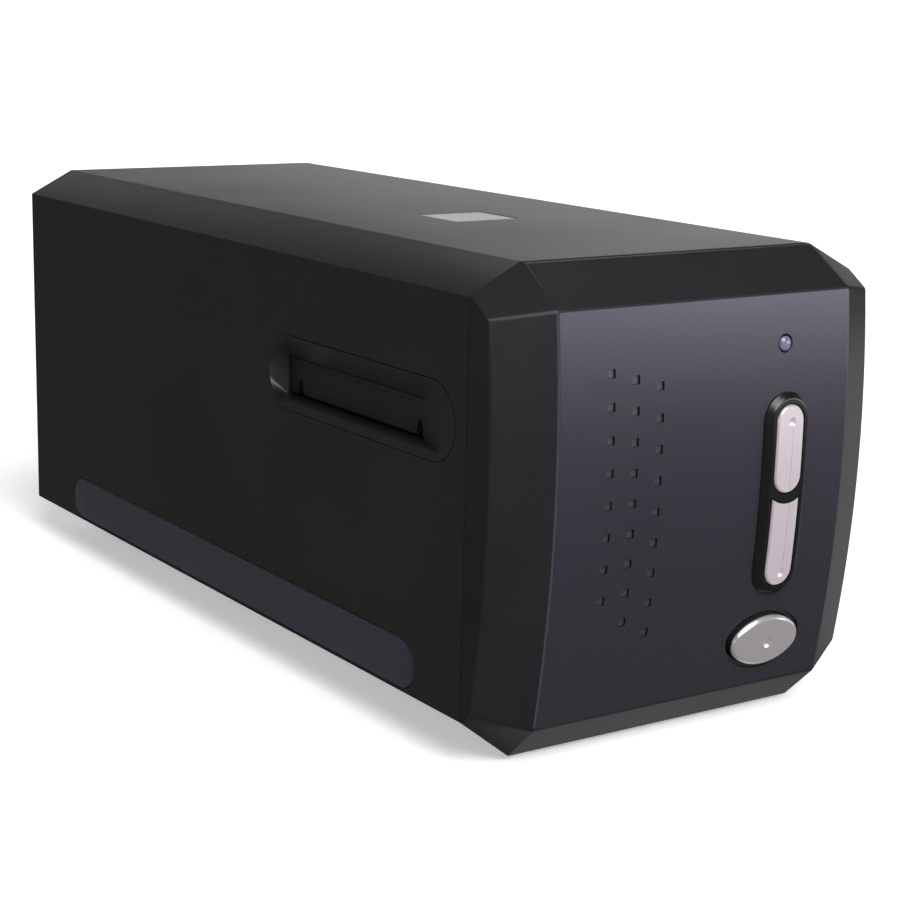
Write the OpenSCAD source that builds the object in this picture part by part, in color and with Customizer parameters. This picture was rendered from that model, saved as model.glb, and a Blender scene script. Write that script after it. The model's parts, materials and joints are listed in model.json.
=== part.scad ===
// Desktop scanner for 35 mm film negatives and slides.
// Millimetres, +Z up. The front faces -Y and +X is its right-hand side.
// The origin is on the table, under the middle of the body.
// Heights named h_ are measured from the lower edge of the front bezel, and up() turns them into Z.
// Distances named back_ are measured rearwards from the foremost line of the curved front.

/* [Body] */
// Width of the body
body_w = 116; // [112:0.5:120]
// Depth from the faces of the scan buttons to the rear panel
body_d = 272; // [266:1:280]
// Height of the body without its feet
body_h = 118.5; // [117:0.5:122]
// How far the feet reach below the front bezel
foot_h = 1.5; // [1:0.5:3]
// Wall of the moulded shells
wall = 2.5; // [2.2:0.1:2.8]
// Width of a top chamfer across the body
top_chamfer_w = 13.8; // [12:0.2:15]
// Drop of a top chamfer down the side
top_chamfer_drop = 7.2; // [6:0.2:8]
// Height of the side walls' lower edges
h_side_edge = 10.6; // [10:0.1:11]
// Width of a bottom chamfer of the base
base_chamfer_w = 16; // [15:0.5:18]
// Height of the base's underside above the bezel's lower edge
h_base = 1.2; // [0.8:0.1:1.5]
// Gap that shows as a line where two shells meet
seam_gap = 0.35; // [0.2:0.05:0.5]

/* [Front bezel] */
// Radius of the front face, seen from the side
front_r = 345; // [320:5:380]
// Height of the foremost line of the front face
h_apex = 73; // [68:1:78]
// Half the width of the front face between its side bevels
face_half_w = 44.5; // [43:0.5:46]
// How far the side bevels fall back to the walls
bevel_back = 7.6; // [6:0.2:9]
// Drop of the top bevel from the top to the front face
top_bevel_drop = 9.3; // [8:0.1:10.5]
// Height of the front face's lower edge
h_face_low = 9.5; // [8.5:0.1:10.5]
// Width of the bottom corner chamfers of the bezel
bezel_chamfer_w = 13.5; // [12.5:0.1:14.5]
// Depth of the bezel where the bevels end on the top and the walls
back_bevel = 15.8; // [15:0.1:16.2]
// Depth of the seam between the bezel and the housing
back_seam = 16.8; // [16.6:0.1:18]
// Side of a sunk square in the front face
square_w = 2.1; // [1.8:0.1:2.4]
// Depth of a sunk square
square_deep = 0.6; // [0.4:0.1:0.9]

/* [Buttons and lamp] */
// Sideways place of the scan buttons
scan_x = 24.4; // [23:0.1:26]
// Half the width of a scan button
scan_half_w = 4.2; // [4:0.1:4.5]
// Lowest and highest point of the upper scan button
h_upper = [60.3, 82.3];
// Lowest and highest point of the lower scan button
h_lower = [36.6, 59.9];
// Radius of the hollow at the top of the lower scan button
hollow_r = 7.2; // [6.8:0.1:8]
// Clearance round a button
button_gap = 0.3; // [0.25:0.05:0.4]
// How far the scan buttons stand in front of the front face
button_proud = 2; // [1.9:0.05:2.2]
// How far the collar stands in front of the front face
collar_proud = 1.8; // [1.6:0.05:1.8]
// Half the width of the collar at its foot
collar_half_w = 7.1; // [6.8:0.1:7.4]
// Half the width of the collar's flat rim
rim_half_w = 5.3; // [5.1:0.1:5.6]
// Travel of a scan button
scan_travel = 0.8; // [0.5:0.1:0.8]
// Sideways place of the power button
power_x = 23.9; // [23:0.1:25]
// Height of the power button's middle
h_power = 21.8; // [21:0.1:23]
// Half the length of the power button
power_a = 10.8; // [10:0.1:11.5]
// Half the height of the power button
power_b = 6.7; // [6.2:0.1:7.2]
// Travel of the power button
power_travel = 1; // [0.6:0.1:1]
// Sideways place of the status lamp
lamp_x = 23.5; // [23:0.1:25]
// Height of the status lamp
h_lamp = 97; // [96:0.5:99]
// Radius of the status lens
lens_r = 1.75; // [1.5:0.05:2]

/* [Film slot] */
// Ends of the slot frame, measured back from the front
back_frame = [21.5, 110];
// Lowest and highest point of the slot frame
h_frame = [70.6, 90.2];
// Ends of the film opening, measured back from the front
back_slot = [40.7, 106.2];
// Lowest and highest point of the film opening
h_slot = [73.3, 83.7];
// Depth of the funnel in front of the film opening
funnel_deep = 4; // [3.5:0.1:4.2]
// Rounding of the lower lip that the film holder slides over
lip_r = 2.2; // [1.8:0.1:2.4]
// Lower edge of the dust flap
h_flap_low = 74; // [73.9:0.1:74.5]
// Height of the flap's hinge
h_hinge = 82.7; // [82.5:0.1:82.8]
// Thickness of a dust flap
flap_t = 1.4; // [1.2:0.1:1.5]
// Radius of a flap's hinge pin
pin_r = 0.8; // [0.7:0.05:0.9]
// Clearance round hinge pins and shafts
running_gap = 0.05; // [0.03:0.01:0.08]

/* [Strips and badge] */
// Ends of a side strip, measured back from the front
back_strip = [37.1, 239.2];
// Lowest and highest point of a side strip
h_strip = [11.2, 24.1];
// Depth of the hollow along a side strip
strip_hollow = 1.4; // [1:0.1:1.5]
// Thickness of a side strip at its rim
strip_t = 2.2; // [2:0.1:2.3]
// Width of the flat rim round a side strip's hollow
strip_rim = 0.35; // [0.3:0.05:0.6]
// Corners of the badge: sideways
badge_x = [-11.6, 8.4];
// Corners of the badge, measured back from the front
back_badge = [91.4, 109.8];
// Thickness of the badge
badge_t = 0.8; // [0.6:0.1:1]

/* [Scan drive] */
// Travel of the scan carriage
scan_range = 32; // [30:1:32]
// Module of the gears
gear_module = 0.6; // [0.6:0.01:0.6]
// Teeth on the motor pinion
pinion_teeth = 14; // [14:1:14]
// Teeth on the reduction gear
gear_teeth = 42; // [42:1:42]
// Radius of the belt pulleys
pulley_r = 5.6; // [5.4:0.1:5.8]
// Thickness of the belt
belt_t = 1.1; // [0.9:0.1:1.2]
// Width of the belt
belt_w = 6; // [5:0.5:6]
// Radius of the main guide rod
rod_r = 3; // [2.5:0.5:3]
// Radius of the second guide rod
rail_r = 2; // [1.5:0.5:2]

/* [Hidden] */

fine = 96;
very_fine = 720;
small = 0.02;
big = 400;

half_w = body_w / 2;
front_y = -body_d / 2 + button_proud;
rear_y = body_d / 2;
seam_y = front_y + back_seam;
rear_seam_y = rear_y - wall;
floor_z = up(h_base) + wall;
body_middle = [0, 0, up(body_h / 2)];
h_chamfer = body_h - top_chamfer_drop;

function up(h) = foot_h + h;
function back(b) = front_y + b;
function mid(range) = (range[0] + range[1]) / 2;
function span(range) = range[1] - range[0];
function unit(v) = v / norm(v);
// How far the front face lies behind its foremost line at height h
function face_back(h) = front_r - sqrt(pow(front_r, 2) - pow(h - h_apex, 2));
// Tilt of the front face at height h
function face_tilt(h) = asin((h - h_apex) / front_r);

// ---------- shared shapes ----------

// An outline drawn in X and Z, drawn out from y0 to y1
module along_y(y0, y1) {
    translate([0, y1, 0])
        rotate([90, 0, 0])
            linear_extrude(y1 - y0)
                children();
}

// A box from one corner to the opposite one
module block(low, high) {
    translate(low)
        cube(high - low);
}

// A rod along X, Y or Z between two places
module rod_x(x0, x1, y, z, r) {
    translate([x0, y, z])
        rotate([0, 90, 0])
            cylinder(r = r, h = x1 - x0, $fn = fine);
}

module rod_y(x, y0, y1, z, r) {
    translate([x, y0, z])
        rotate([-90, 0, 0])
            cylinder(r = r, h = y1 - y0, $fn = fine);
}

module rod_z(x, y, z0, z1, r) {
    translate([x, y, z0])
        cylinder(r = r, h = z1 - z0, $fn = fine);
}

// A stadium lying in the side wall, drawn out from x0 to x1
module side_stadium(x0, x1, ends, heights, grow = 0) {
    r = span(heights) / 2;
    z = up(mid(heights));
    y0 = back(ends[0]) + r;
    y1 = back(ends[1]) - r;
    rod_x(x0, x1, y0, z, r + grow);
    rod_x(x0, x1, y1, z, r + grow);
    block([x0, y0, z - r - grow], [x1, y1, z + r + grow]);
}

// The eight-sided section of the body, moved in by inset
module body_section(inset = 0, chamfer_w = base_chamfer_w, h_low = h_base) {
    top_turn = atan2(top_chamfer_w, top_chamfer_drop);
    low_turn = atan2(chamfer_w, h_side_edge - h_low);
    right = [
        [half_w - chamfer_w - inset * tan(45 - low_turn / 2), up(h_low) + inset],
        [half_w - inset, up(h_side_edge) + inset * tan(low_turn / 2)],
        [half_w - inset, up(h_chamfer) - inset * tan(top_turn / 2)],
        [half_w - top_chamfer_w - inset * tan(45 - top_turn / 2), up(body_h) - inset]
    ];
    left = [for (i = [3:-1:0]) [-right[i][0], right[i][1]]];
    polygon(concat(right, left));
}

// Everything beyond the plane through three points, on the side away from the body's middle
module beyond(p, q, r, inset = 0) {
    n = unit(cross(q - p, r - p));
    out = n * (p - body_middle) > 0 ? n : -n;
    translate(p - inset * out)
        rotate([0, acos(out[2]), atan2(out[1], out[0])])
            translate([-big / 2, -big / 2, 0])
                cube([big, big, big / 4]);
}

// Turns a profile of [radius, x] right round the axis of the curved front
module full_front() {
    translate([0, front_y + front_r, up(h_apex)])
        rotate([0, 90, 0])
            rotate_extrude($fn = very_fine)
                children();
}

// Turns a profile of [radius, x] round the axis of the curved front, between two heights
module along_front(h0, h1) {
    translate([0, front_y + front_r, up(h_apex)])
        rotate([0, 90, 0])
            rotate([0, 0, -90 - face_tilt(h1)])
                rotate_extrude(angle = face_tilt(h1) - face_tilt(h0), $fn = very_fine)
                    children();
}

// Puts a shape on the front face at x and height h, with its +Z pointing out of the face
module on_front(x, h) {
    translate([x, front_y + face_back(h), up(h)])
        rotate([90 - face_tilt(h), 0, 0])
            children();
}

// A stadium on the front face, its ends a hair narrower than its middle.
// Its sides list [distance from its middle line, height over the face], from the inside outwards.
module front_stadium(x, h0, h1, sides, round_top = true) {
    last = len(sides) - 1;
    half = concat([[sides[0][0], sides[0][1] - 0.2]], sides, [[sides[last][0], sides[last][1] + 0.2]]);
    end = concat([[0, sides[0][1]]], [for (p = sides) [p[0] - 0.006, p[1]]], [[0, sides[last][1]]]);
    along_front(h0, h1)
        polygon(concat(
            [for (p = half) [front_r + p[1], x + p[0]]],
            [for (i = [last + 2:-1:0]) [front_r + half[i][1], x - half[i][0]]]
        ));
    on_front(x, h0)
        rotate([0, 0, 90])
            rotate_extrude($fn = fine)
                polygon(end);
    if (round_top)
        on_front(x, h1)
            rotate([0, 0, -90])
                rotate_extrude($fn = fine)
                    polygon(end);
}

// Keeps what lies between two heights over the front face
module between_heights(v0, v1) {
    intersection() {
        children();
        difference() {
            full_front()
                translate([0, -half_w])
                    square([front_r + v1, body_w]);
            full_front()
                translate([0, -half_w - 1])
                    square([front_r + v0, body_w + 2]);
        }
    }
}

// An oval of half-lengths a and b, made of four tangent arcs, drawn out along Z, with its insets below and above
module oval(a, b, height, inset = [0, 0]) {
    end_r = 0.64 * b;
    side_r = (pow(a - end_r, 2) + pow(b, 2) - pow(end_r, 2)) / (2 * (b - end_r));
    reach = a - end_r + (end_r - inset[1]) * (a - end_r) / (side_r - end_r);
    for (s = [-1, 1])
        translate([s * (a - end_r), 0, 0])
            cylinder(r1 = end_r - inset[0], r2 = end_r - inset[1], h = height, $fn = fine);
    intersection() {
        translate([0, b - side_r, 0])
            cylinder(r1 = side_r - inset[0], r2 = side_r - inset[1], h = height, $fn = 2 * fine);
        translate([0, side_r - b, 0])
            cylinder(r1 = side_r - inset[0], r2 = side_r - inset[1], h = height, $fn = 2 * fine);
        translate([-reach, -b, 0])
            cube([2 * reach, 2 * b, height]);
    }
}

// A coil spring along +Z from the origin
module coil(mean_r, wire_r, turns, length, sides = 6, steps = 14) {
    rings = round(turns * steps);
    points = [for (i = [0:rings], j = [0:sides - 1])
        let (a = 360 * i / steps, b = 360 * j / sides, r = mean_r + wire_r * cos(b))
        [r * cos(a), r * sin(a), length * i / rings + wire_r * sin(b)]];
    walls = [for (i = [0:rings - 1], j = [0:sides - 1], half = [0, 1])
        let (p = i * sides + j, q = i * sides + (j + 1) % sides)
        half == 0 ? [p, p + sides, q] : [q, p + sides, q + sides]];
    first = [for (j = [0:sides - 1]) j];
    last = [for (j = [sides - 1:-1:0]) rings * sides + j];
    polyhedron(points, concat(walls, [first, last]), convexity = 10);
}

// Draws its children on the left of the body, or mirrored on the right
module on_side(side) {
    if (side == "left") children();
    else mirror([1, 0, 0]) children();
}

// ---------- bezel ----------

// The outer form of the bezel, moved in by inset, from its front to y_end
module bezel_form(inset, y_end) {
    top_y = back(back_bevel);
    face_w = face_half_w - inset / 2;
    difference() {
        intersection() {
            along_y(front_y - 1, y_end)
                body_section(inset, bezel_chamfer_w, 0);
            full_front()
                polygon([[0, -half_w], [front_r - bevel_back - inset, -half_w],
                    [front_r - inset, -face_w], [front_r - inset, face_w],
                    [front_r - bevel_back - inset, half_w], [0, half_w]]);
        }
        beyond([0, top_y, up(body_h)], [1, top_y, up(body_h)],
            [0, back(face_back(body_h - top_bevel_drop)), up(body_h - top_bevel_drop)], inset);
        beyond([0, top_y, up(0)], [1, top_y, up(0)],
            [0, back(face_back(h_face_low)), up(h_face_low)], inset);
        for (s = [-1, 1]) {
            beyond([s * half_w, top_y, up(h_chamfer)],
                [s * (half_w - top_chamfer_w), top_y, up(body_h)],
                [s * face_half_w, back(face_back(body_h - top_bevel_drop)), up(body_h - top_bevel_drop)],
                inset);
            beyond([s * half_w, top_y, up(h_side_edge)],
                [s * (half_w - bezel_chamfer_w), top_y, up(0)],
                [s * face_half_w, back(face_back(h_face_low)), up(h_face_low)],
                inset);
        }
    }
}

tongue_inset = wall + 0.1;
tongue_t = 1.5;
tongue_y = seam_y + 2.9;
board_y = back(21);
board_post_x = [11.5, 36.5];
board_post_h = [29.5, 90];
seat_half_w = 6;

module sunk_squares() {
    // Each column: sideways place, height of its top square, pitch, number of squares
    for (column = [[-29.5, 94, 7.73, 8], [-22.35, 92, 7.3, 9], [-15.1, 90, 7.52, 9]])
        for (i = [0:column[3] - 1])
            on_front(column[0], column[1] - i * column[2])
                translate([-square_w / 2, -square_w / 2, -square_deep])
                    cube([square_w, square_w, 2]);
}

module collar_seat(grow) {
    front_stadium(scan_x, h_lower[0] + scan_half_w, h_upper[1] - scan_half_w,
        [[seat_half_w + grow, -wall - 1], [seat_half_w + grow, 0.5]]);
}

module front_bezel() {
    color("#2f2f36")
        difference() {
            union() {
                difference() {
                    bezel_form(0, seam_y);
                    bezel_form(wall, seam_y - 4);
                    along_y(seam_y - 4.01, seam_y + 1)
                        body_section(wall + 1.6, bezel_chamfer_w, 0);
                }
                difference() {
                    along_y(seam_y - 4, tongue_y)
                        body_section(tongue_inset, base_chamfer_w, h_base);
                    along_y(seam_y - 5, tongue_y + 1)
                        body_section(tongue_inset + tongue_t, base_chamfer_w, h_base);
                }
                for (x = board_post_x, h = board_post_h)
                    rod_y(x, front_y + face_back(h) + 1.5, board_y, up(h), 2.5);
            }
            sunk_squares();
            collar_seat(0);
            on_front(power_x, h_power) {
                translate([0, 0, -wall - 3])
                    oval(power_a + button_gap, power_b + button_gap, wall + 5);
                translate([0, 0, -0.9])
                    oval(power_a + 1.3, power_b + 1.3, 3);
            }
            on_front(lamp_x, h_lamp) {
                translate([0, 0, -wall - 2])
                    cylinder(r = lens_r + 0.15, h = wall + 4, $fn = fine);
                translate([0, 0, -0.5])
                    cylinder(r1 = lens_r + 0.15, r2 = lens_r + 0.7, h = 0.6, $fn = fine);
            }
            for (x = board_post_x, h = board_post_h)
                rod_y(x, board_y - 8, board_y + 1, up(h), 0.9);
        }
}

// ---------- buttons ----------

module button_hole(range, grow) {
    front_stadium(scan_x, range[0] + scan_half_w, range[1] - scan_half_w,
        [[scan_half_w + grow, -9], [scan_half_w + grow, 4]]);
}

// The round end of the upper button, widened to the hollow in the lower one
module hollow_cut(r) {
    on_front(scan_x, h_lower[1] - 2.2 + hollow_r)
        translate([0, 0, -12])
            cylinder(r = r, h = 20, $fn = fine);
}

module lower_button_hole(grow) {
    difference() {
        front_stadium(scan_x, h_lower[0] + scan_half_w, h_lower[1],
            [[scan_half_w + grow, -9], [scan_half_w + grow, 4]], false);
        hollow_cut(hollow_r - grow);
    }
}

module button_collar() {
    color("#17171a")
        difference() {
            union() {
                between_heights(small, collar_proud)
                    front_stadium(scan_x, h_lower[0] + scan_half_w, h_upper[1] - scan_half_w,
                        [[collar_half_w, -1], [collar_half_w, 0.35], [rim_half_w + 0.6, collar_proud - 0.2],
                            [rim_half_w - 0.6, collar_proud + 0.2]]);
                between_heights(-wall, 0.4)
                    front_stadium(scan_x, h_lower[0] + scan_half_w, h_upper[1] - scan_half_w,
                        [[seat_half_w - 0.1, -wall - 1], [seat_half_w - 0.1, 1]]);
            }
            button_hole(h_upper, button_gap);
            lower_button_hole(button_gap);
        }
}

switch_tip_y = board_y - 5.2;
switch_r = 1.7;
stem_gap = 0.02;
flange_t = 1.2;
plug_deep = wall + 2.4;

// A stem behind a button, with the flange that keeps the button in
module button_stem(x, h, flange_half_w, flange_half_h) {
    flange_y = back(face_back(h)) + wall + 0.5 + (flange_half_h + 1) * abs(tan(face_tilt(h)));
    rod_y(x, flange_y, switch_tip_y - stem_gap, up(h), 1.8);
    block([x - flange_half_w, flange_y, up(h) - flange_half_h],
        [x + flange_half_w, flange_y + flange_t, up(h) + flange_half_h]);
}

button_sides = [[scan_half_w, -plug_deep - 1], [scan_half_w, button_proud - 0.5],
    [scan_half_w - 0.25, button_proud - 0.1], [scan_half_w - 0.7, button_proud + 0.2]];

module thumb_dimple(x, h) {
    on_front(x, h)
        translate([0, 0, button_proud + 1.75])
            sphere(r = 2.1, $fn = 48);
}

module thumb_groove(x, h0, h1) {
    along_front(h0, h1)
        polygon([[front_r + button_proud - 0.2, x], [front_r + button_proud + 1, x - 0.15],
            [front_r + button_proud + 1, x + 0.15]]);
}

module scan_button_upper() {
    color("#c9c4c6")
        union() {
            difference() {
                between_heights(-plug_deep, button_proud)
                    front_stadium(scan_x, h_upper[0] + scan_half_w, h_upper[1] - scan_half_w, button_sides);
                thumb_dimple(scan_x + 0.3, 78);
                thumb_groove(scan_x + 0.7, 60.7, 76.3);
            }
            button_stem(scan_x, mid(h_upper), 6, 8);
        }
}

module scan_button_lower() {
    color("#c9c4c6")
        union() {
            difference() {
                between_heights(-plug_deep, button_proud)
                    front_stadium(scan_x, h_lower[0] + scan_half_w, h_lower[1], button_sides, false);
                hollow_cut(hollow_r);
                thumb_dimple(scan_x + 0.7, 40);
                thumb_groove(scan_x + 1, 41.7, 60);
            }
            button_stem(scan_x, mid(h_lower) - 1, 6, 8);
        }
}

module power_button() {
    dome_r = 160;
    proud = 1.9;
    color("#c9c4c6")
        union() {
            difference() {
                intersection() {
                    on_front(power_x, h_power) {
                        translate([0, 0, -plug_deep])
                            oval(power_a, power_b, plug_deep + 0.8);
                        translate([0, 0, 0.8])
                            oval(power_a, power_b, 0.5, [0, 0.25]);
                        translate([0, 0, 1.3])
                            oval(power_a, power_b, 0.7, [0.25, 1.15]);
                    }
                    on_front(power_x, h_power)
                        translate([0, 0, proud - dome_r])
                            sphere(r = dome_r, $fn = 2 * fine);
                }
                on_front(power_x + 0.6, h_power - 0.3)
                    translate([0, 0, proud + 2.1])
                        sphere(r = 2.6, $fn = 48);
            }
            button_stem(power_x, h_power, 12.5, 5);
        }
}

module status_lens() {
    color("#b9c4e0")
        on_front(lamp_x, h_lamp)
            union() {
                translate([0, 0, -14])
                    cylinder(r = lens_r, h = 14, $fn = fine);
                intersection() {
                    translate([0, 0, -1.4])
                        sphere(r = sqrt(pow(lens_r, 2) + pow(1.4, 2)), $fn = fine);
                    cylinder(r = lens_r, h = 2, $fn = fine);
                }
                translate([0, 0, -14])
                    cylinder(r = 3, h = 1.2, $fn = fine);
            }
}

// ---------- housing, base, rear ----------

boss_x = half_w - 9.5;
boss_back = [26, 252];
boss_r = 3.5;
boss_top = up(24);
boss_low = up(h_side_edge) + 1.5;
base_boss_r = 4.2;
screw_seat_z = boss_low - 2.9;
screw_r = 1.25;

module side_pockets() {
    for (side = ["left", "right"])
        on_side(side) {
            side_stadium(-half_w - 1, -half_w + strip_t + 0.1, back_strip, h_strip, small);
            side_stadium(-half_w - 1, -half_w + wall + 1, back_frame, h_frame, 0.1);
        }
}

module housing() {
    color("#33352f")
        difference() {
            union() {
                difference() {
                    along_y(seam_y + seam_gap, rear_seam_y)
                        body_section();
                    along_y(seam_y, rear_seam_y - 3)
                        body_section(wall);
                    along_y(rear_seam_y - 4, rear_seam_y + 1)
                        body_section(wall + 2);
                }
                for (side = ["left", "right"])
                    on_side(side)
                        intersection() {
                            side_stadium(-half_w + 1, -half_w + strip_t + 1.6, back_strip, h_strip, 2);
                            along_y(seam_y + 6, rear_seam_y - 3)
                                body_section(wall / 2);
                        }
                for (s = [-1, 1], b = boss_back) {
                    rod_z(s * boss_x, back(b), boss_low, boss_top, boss_r);
                    block([s > 0 ? boss_x : -half_w + 1, back(b) - 1, boss_low],
                        [s > 0 ? half_w - 1 : -boss_x, back(b) + 1, boss_top]);
                }
                badge_bed();
            }
            side_pockets();
            badge_pocket();
            block([-half_w - 1, front_y, 0], [half_w + 1, rear_y + 1, up(h_side_edge)]);
            for (s = [-1, 1], b = boss_back)
                rod_z(s * boss_x, back(b), boss_low - 1, boss_top - 2, screw_r);
            for (s = [-1, 1])
                rod_y(s * rear_screw_x, rear_seam_y - 9, rear_seam_y + 1, rear_screw_z, screw_r);
            rear_cable_room();
        }
}

rear_screw_x = half_w - 9;
rear_screw_z = up(100);

// The housing's rear rim stays clear of the sockets
module rear_cable_room() {
    block([-half_w + 20, rear_seam_y - 5, 0], [half_w - 20, rear_seam_y + 1, up(30)]);
}

module badge_bed() {
    block([badge_x[0] - 2, back(back_badge[0]) - 2, up(body_h) - wall - 1],
        [badge_x[1] + 2, back(back_badge[1]) + 2, up(body_h) - wall + 1]);
}

module badge_pocket() {
    block([badge_x[0] - 0.1, back(back_badge[0]) - 0.1, up(body_h) - badge_t - 0.1],
        [badge_x[1] + 0.1, back(back_badge[1]) + 0.1, up(body_h) + 1]);
}

module top_badge() {
    color("#a9a8b0")
        block([badge_x[0], back(back_badge[0]), up(body_h) - badge_t - 0.1],
            [badge_x[1], back(back_badge[1]), up(body_h) - 0.1]);
}

foot_x = 27;
foot_back = [32, 244];
foot_r = 8;
foot_recess = 0.6;
post_x = 36.5;
post_back = [38, 122, 222];
chassis_z = 18;
vent_count = 9;

module base() {
    color("#26272a")
        difference() {
            union() {
                intersection() {
                    along_y(seam_y + seam_gap, rear_seam_y)
                        body_section();
                    block([-half_w, front_y, 0], [half_w, rear_y, up(h_side_edge) - small]);
                }
                intersection() {
                    along_y(seam_y + 4, rear_seam_y - 4)
                        body_section(wall / 2);
                    for (s = [-1, 1], b = boss_back)
                        rod_z(s * boss_x, back(b), 0, boss_low - 0.1, base_boss_r);
                }
            }
            difference() {
                along_y(seam_y, rear_seam_y + 1)
                    body_section(wall);
                for (s = [-1, 1], b = boss_back)
                    rod_z(s * boss_x, back(b), 0, boss_low - 0.1, base_boss_r);
                for (s = [-1, 1], b = post_back)
                    rod_z(s * post_x, back(b), 0, chassis_z, 3);
                for (x = [-26, 26], b = [172, 258])
                    rod_z(x, back(b), 0, board_z, 2.5);
            }
            along_y(seam_y, tongue_y + 0.5)
                body_section(wall);
            for (s = [-1, 1], b = foot_back)
                rod_z(s * foot_x, back(b), 0, up(h_base) + foot_recess, foot_r + 0.1);
            for (s = [-1, 1], b = boss_back) {
                rod_z(s * boss_x, back(b), 0, screw_seat_z, 3.2);
                rod_z(s * boss_x, back(b), 0, boss_low + 1, 1.6);
            }
            for (i = [0:vent_count - 1])
                block([-16, back(96 + 6 * i), 0], [16, back(98 + 6 * i), floor_z + 1]);
        }
    color("#26272a")
        for (s = [-1, 1], b = post_back)
            difference() {
                rod_z(s * post_x, back(b), floor_z - 0.5, chassis_z, 3);
                rod_z(s * post_x, back(b), floor_z + 2, chassis_z + 1, 1);
            }
}

module rear_panel() {
    chamfer = 1;
    color("#2b2c30")
        difference() {
            union() {
                along_y(rear_seam_y + small, rear_y - chamfer)
                    body_section();
                along_y(rear_y - chamfer - small, rear_y)
                    body_section(chamfer);
                difference() {
                    along_y(rear_seam_y - 3, rear_seam_y + 1)
                        body_section(wall + 2.15);
                    along_y(rear_seam_y - 4, rear_seam_y + 1)
                        body_section(wall + 3.8);
                    block([-half_w + 20, rear_seam_y - 5, 0], [half_w - 20, rear_seam_y, up(30)]);
                    for (s = [-1, 1])
                        rod_y(s * rear_screw_x, rear_seam_y - 5, rear_y, rear_screw_z, 4);
                }
            }
            block([usb_x - 6.2, rear_seam_y - 6, socket_z - 0.2], [usb_x + 6.2, rear_y + 1, socket_z + 11.2]);
            rod_y(jack_x, rear_seam_y - 6, rear_y + 1, socket_z + 5.5, 5.2);
            for (s = [-1, 1]) {
                rod_y(s * rear_screw_x, rear_seam_y - 1, rear_y + 1, rear_screw_z, 1.6);
                rod_y(s * rear_screw_x, rear_y - 1.3, rear_y + 1, rear_screw_z, 3.2);
            }
        }
}

module side_strip(side) {
    r = span(h_strip) / 2;
    face_x = -half_w + 0.1;
    hollow_half_w = r - 0.15 - strip_rim;
    sag_r = (pow(hollow_half_w, 2) + pow(strip_hollow, 2)) / (2 * strip_hollow);
    z = up(mid(h_strip));
    y0 = back(back_strip[0]) + r;
    y1 = back(back_strip[1]) - r;
    axis_x = face_x + strip_hollow - sag_r;
    color("#3d3d4a")
        on_side(side)
            difference() {
                side_stadium(face_x, -half_w + strip_t, back_strip, h_strip, -0.15);
                rod_y(axis_x, y0, y1, z, sag_r);
                for (y = [y0, y1])
                    translate([axis_x, y, z])
                        sphere(r = sag_r, $fn = 2 * fine);
            }
}

module feet() {
    color("#1c1c1c")
        for (s = [-1, 1], b = foot_back)
            difference() {
                rod_z(s * foot_x, back(b), 0, up(h_base) + foot_recess - small, foot_r);
                rod_z(s * foot_x, back(b), -1, 0.5, foot_r - 2.5);
            }
}

// A pan-head screw along +Z with its head at the origin and a cross recess
module screw(shank_r, length, head_r, head_t) {
    difference() {
        union() {
            cylinder(r = head_r, h = head_t, $fn = 48);
            cylinder(r = shank_r, h = head_t + length, $fn = 48);
        }
        for (turn = [0, 90])
            rotate([0, 0, turn])
                translate([-head_r * 0.6, -0.35, -1])
                    cube([head_r * 1.2, 0.7, 2]);
    }
}

module base_screws() {
    color("silver")
        for (s = [-1, 1], b = boss_back)
            translate([s * boss_x, back(b), screw_seat_z - 2.1])
                screw(1.2, 11.5, 2.9, 2.05);
}

module rear_screws() {
    color("silver")
        for (s = [-1, 1])
            translate([s * rear_screw_x, rear_y - 0.1, rear_screw_z])
                rotate([90, 0, 0])
                    screw(1.2, 8, 2.9, 1.15);
}

// ---------- film slot ----------

slot_y = [back(back_slot[0]), back(back_slot[1])];
slot_mid_y = mid(slot_y);
frame_in_x = -half_w + 8;
flap_x = -half_w + funnel_deep + 1.5;
pocket_wall = 1.2;
pocket_len = 3.6;

// The funnel in front of the opening, above its rounded lower lip
module funnel() {
    throat_x = -half_w + funnel_deep;
    lip_z = up(h_slot[0]);
    difference() {
        hull() {
            side_stadium(-half_w - 1, -half_w + small, back_frame, h_frame, -0.4, $fn = 32);
            block([throat_x, slot_y[0], lip_z], [throat_x + small, slot_y[1], up(h_slot[1])]);
        }
        block([-half_w + lip_r, back(back_frame[0]), lip_z - 3], [throat_x + 1, back(back_frame[1]), lip_z]);
        rod_y(-half_w + lip_r, back(back_frame[0]), back(back_frame[1]), lip_z - lip_r, lip_r);
    }
}

module slot_frame(side) {
    color("#2c2e2a")
        on_side(side)
            difference() {
                union() {
                    side_stadium(-half_w, frame_in_x, back_frame, h_frame, -0.05);
                    side_stadium(-half_w + wall + 0.05, -half_w + wall + 1.2, back_frame, h_frame, 1.5);
                }
                funnel();
                block([-half_w + funnel_deep - small, slot_y[0], up(h_slot[0])],
                    [frame_in_x + 1, slot_y[1], up(h_slot[1])]);
                block([-half_w + funnel_deep + 0.4, slot_y[0], up(h_slot[1]) - 1],
                    [frame_in_x + 1, slot_y[1], up(h_slot[1]) + 0.9]);
                rod_y(flap_x, slot_y[0] - 2, slot_y[1] + pocket_wall + 1, up(h_hinge), pin_r + running_gap);
                block([flap_x - 1.7, slot_y[1] + pocket_wall, up(h_hinge) - 1.7],
                    [frame_in_x + 1, slot_y[1] + pocket_wall + pocket_len, up(h_hinge) + 1.7]);
            }
}

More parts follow.
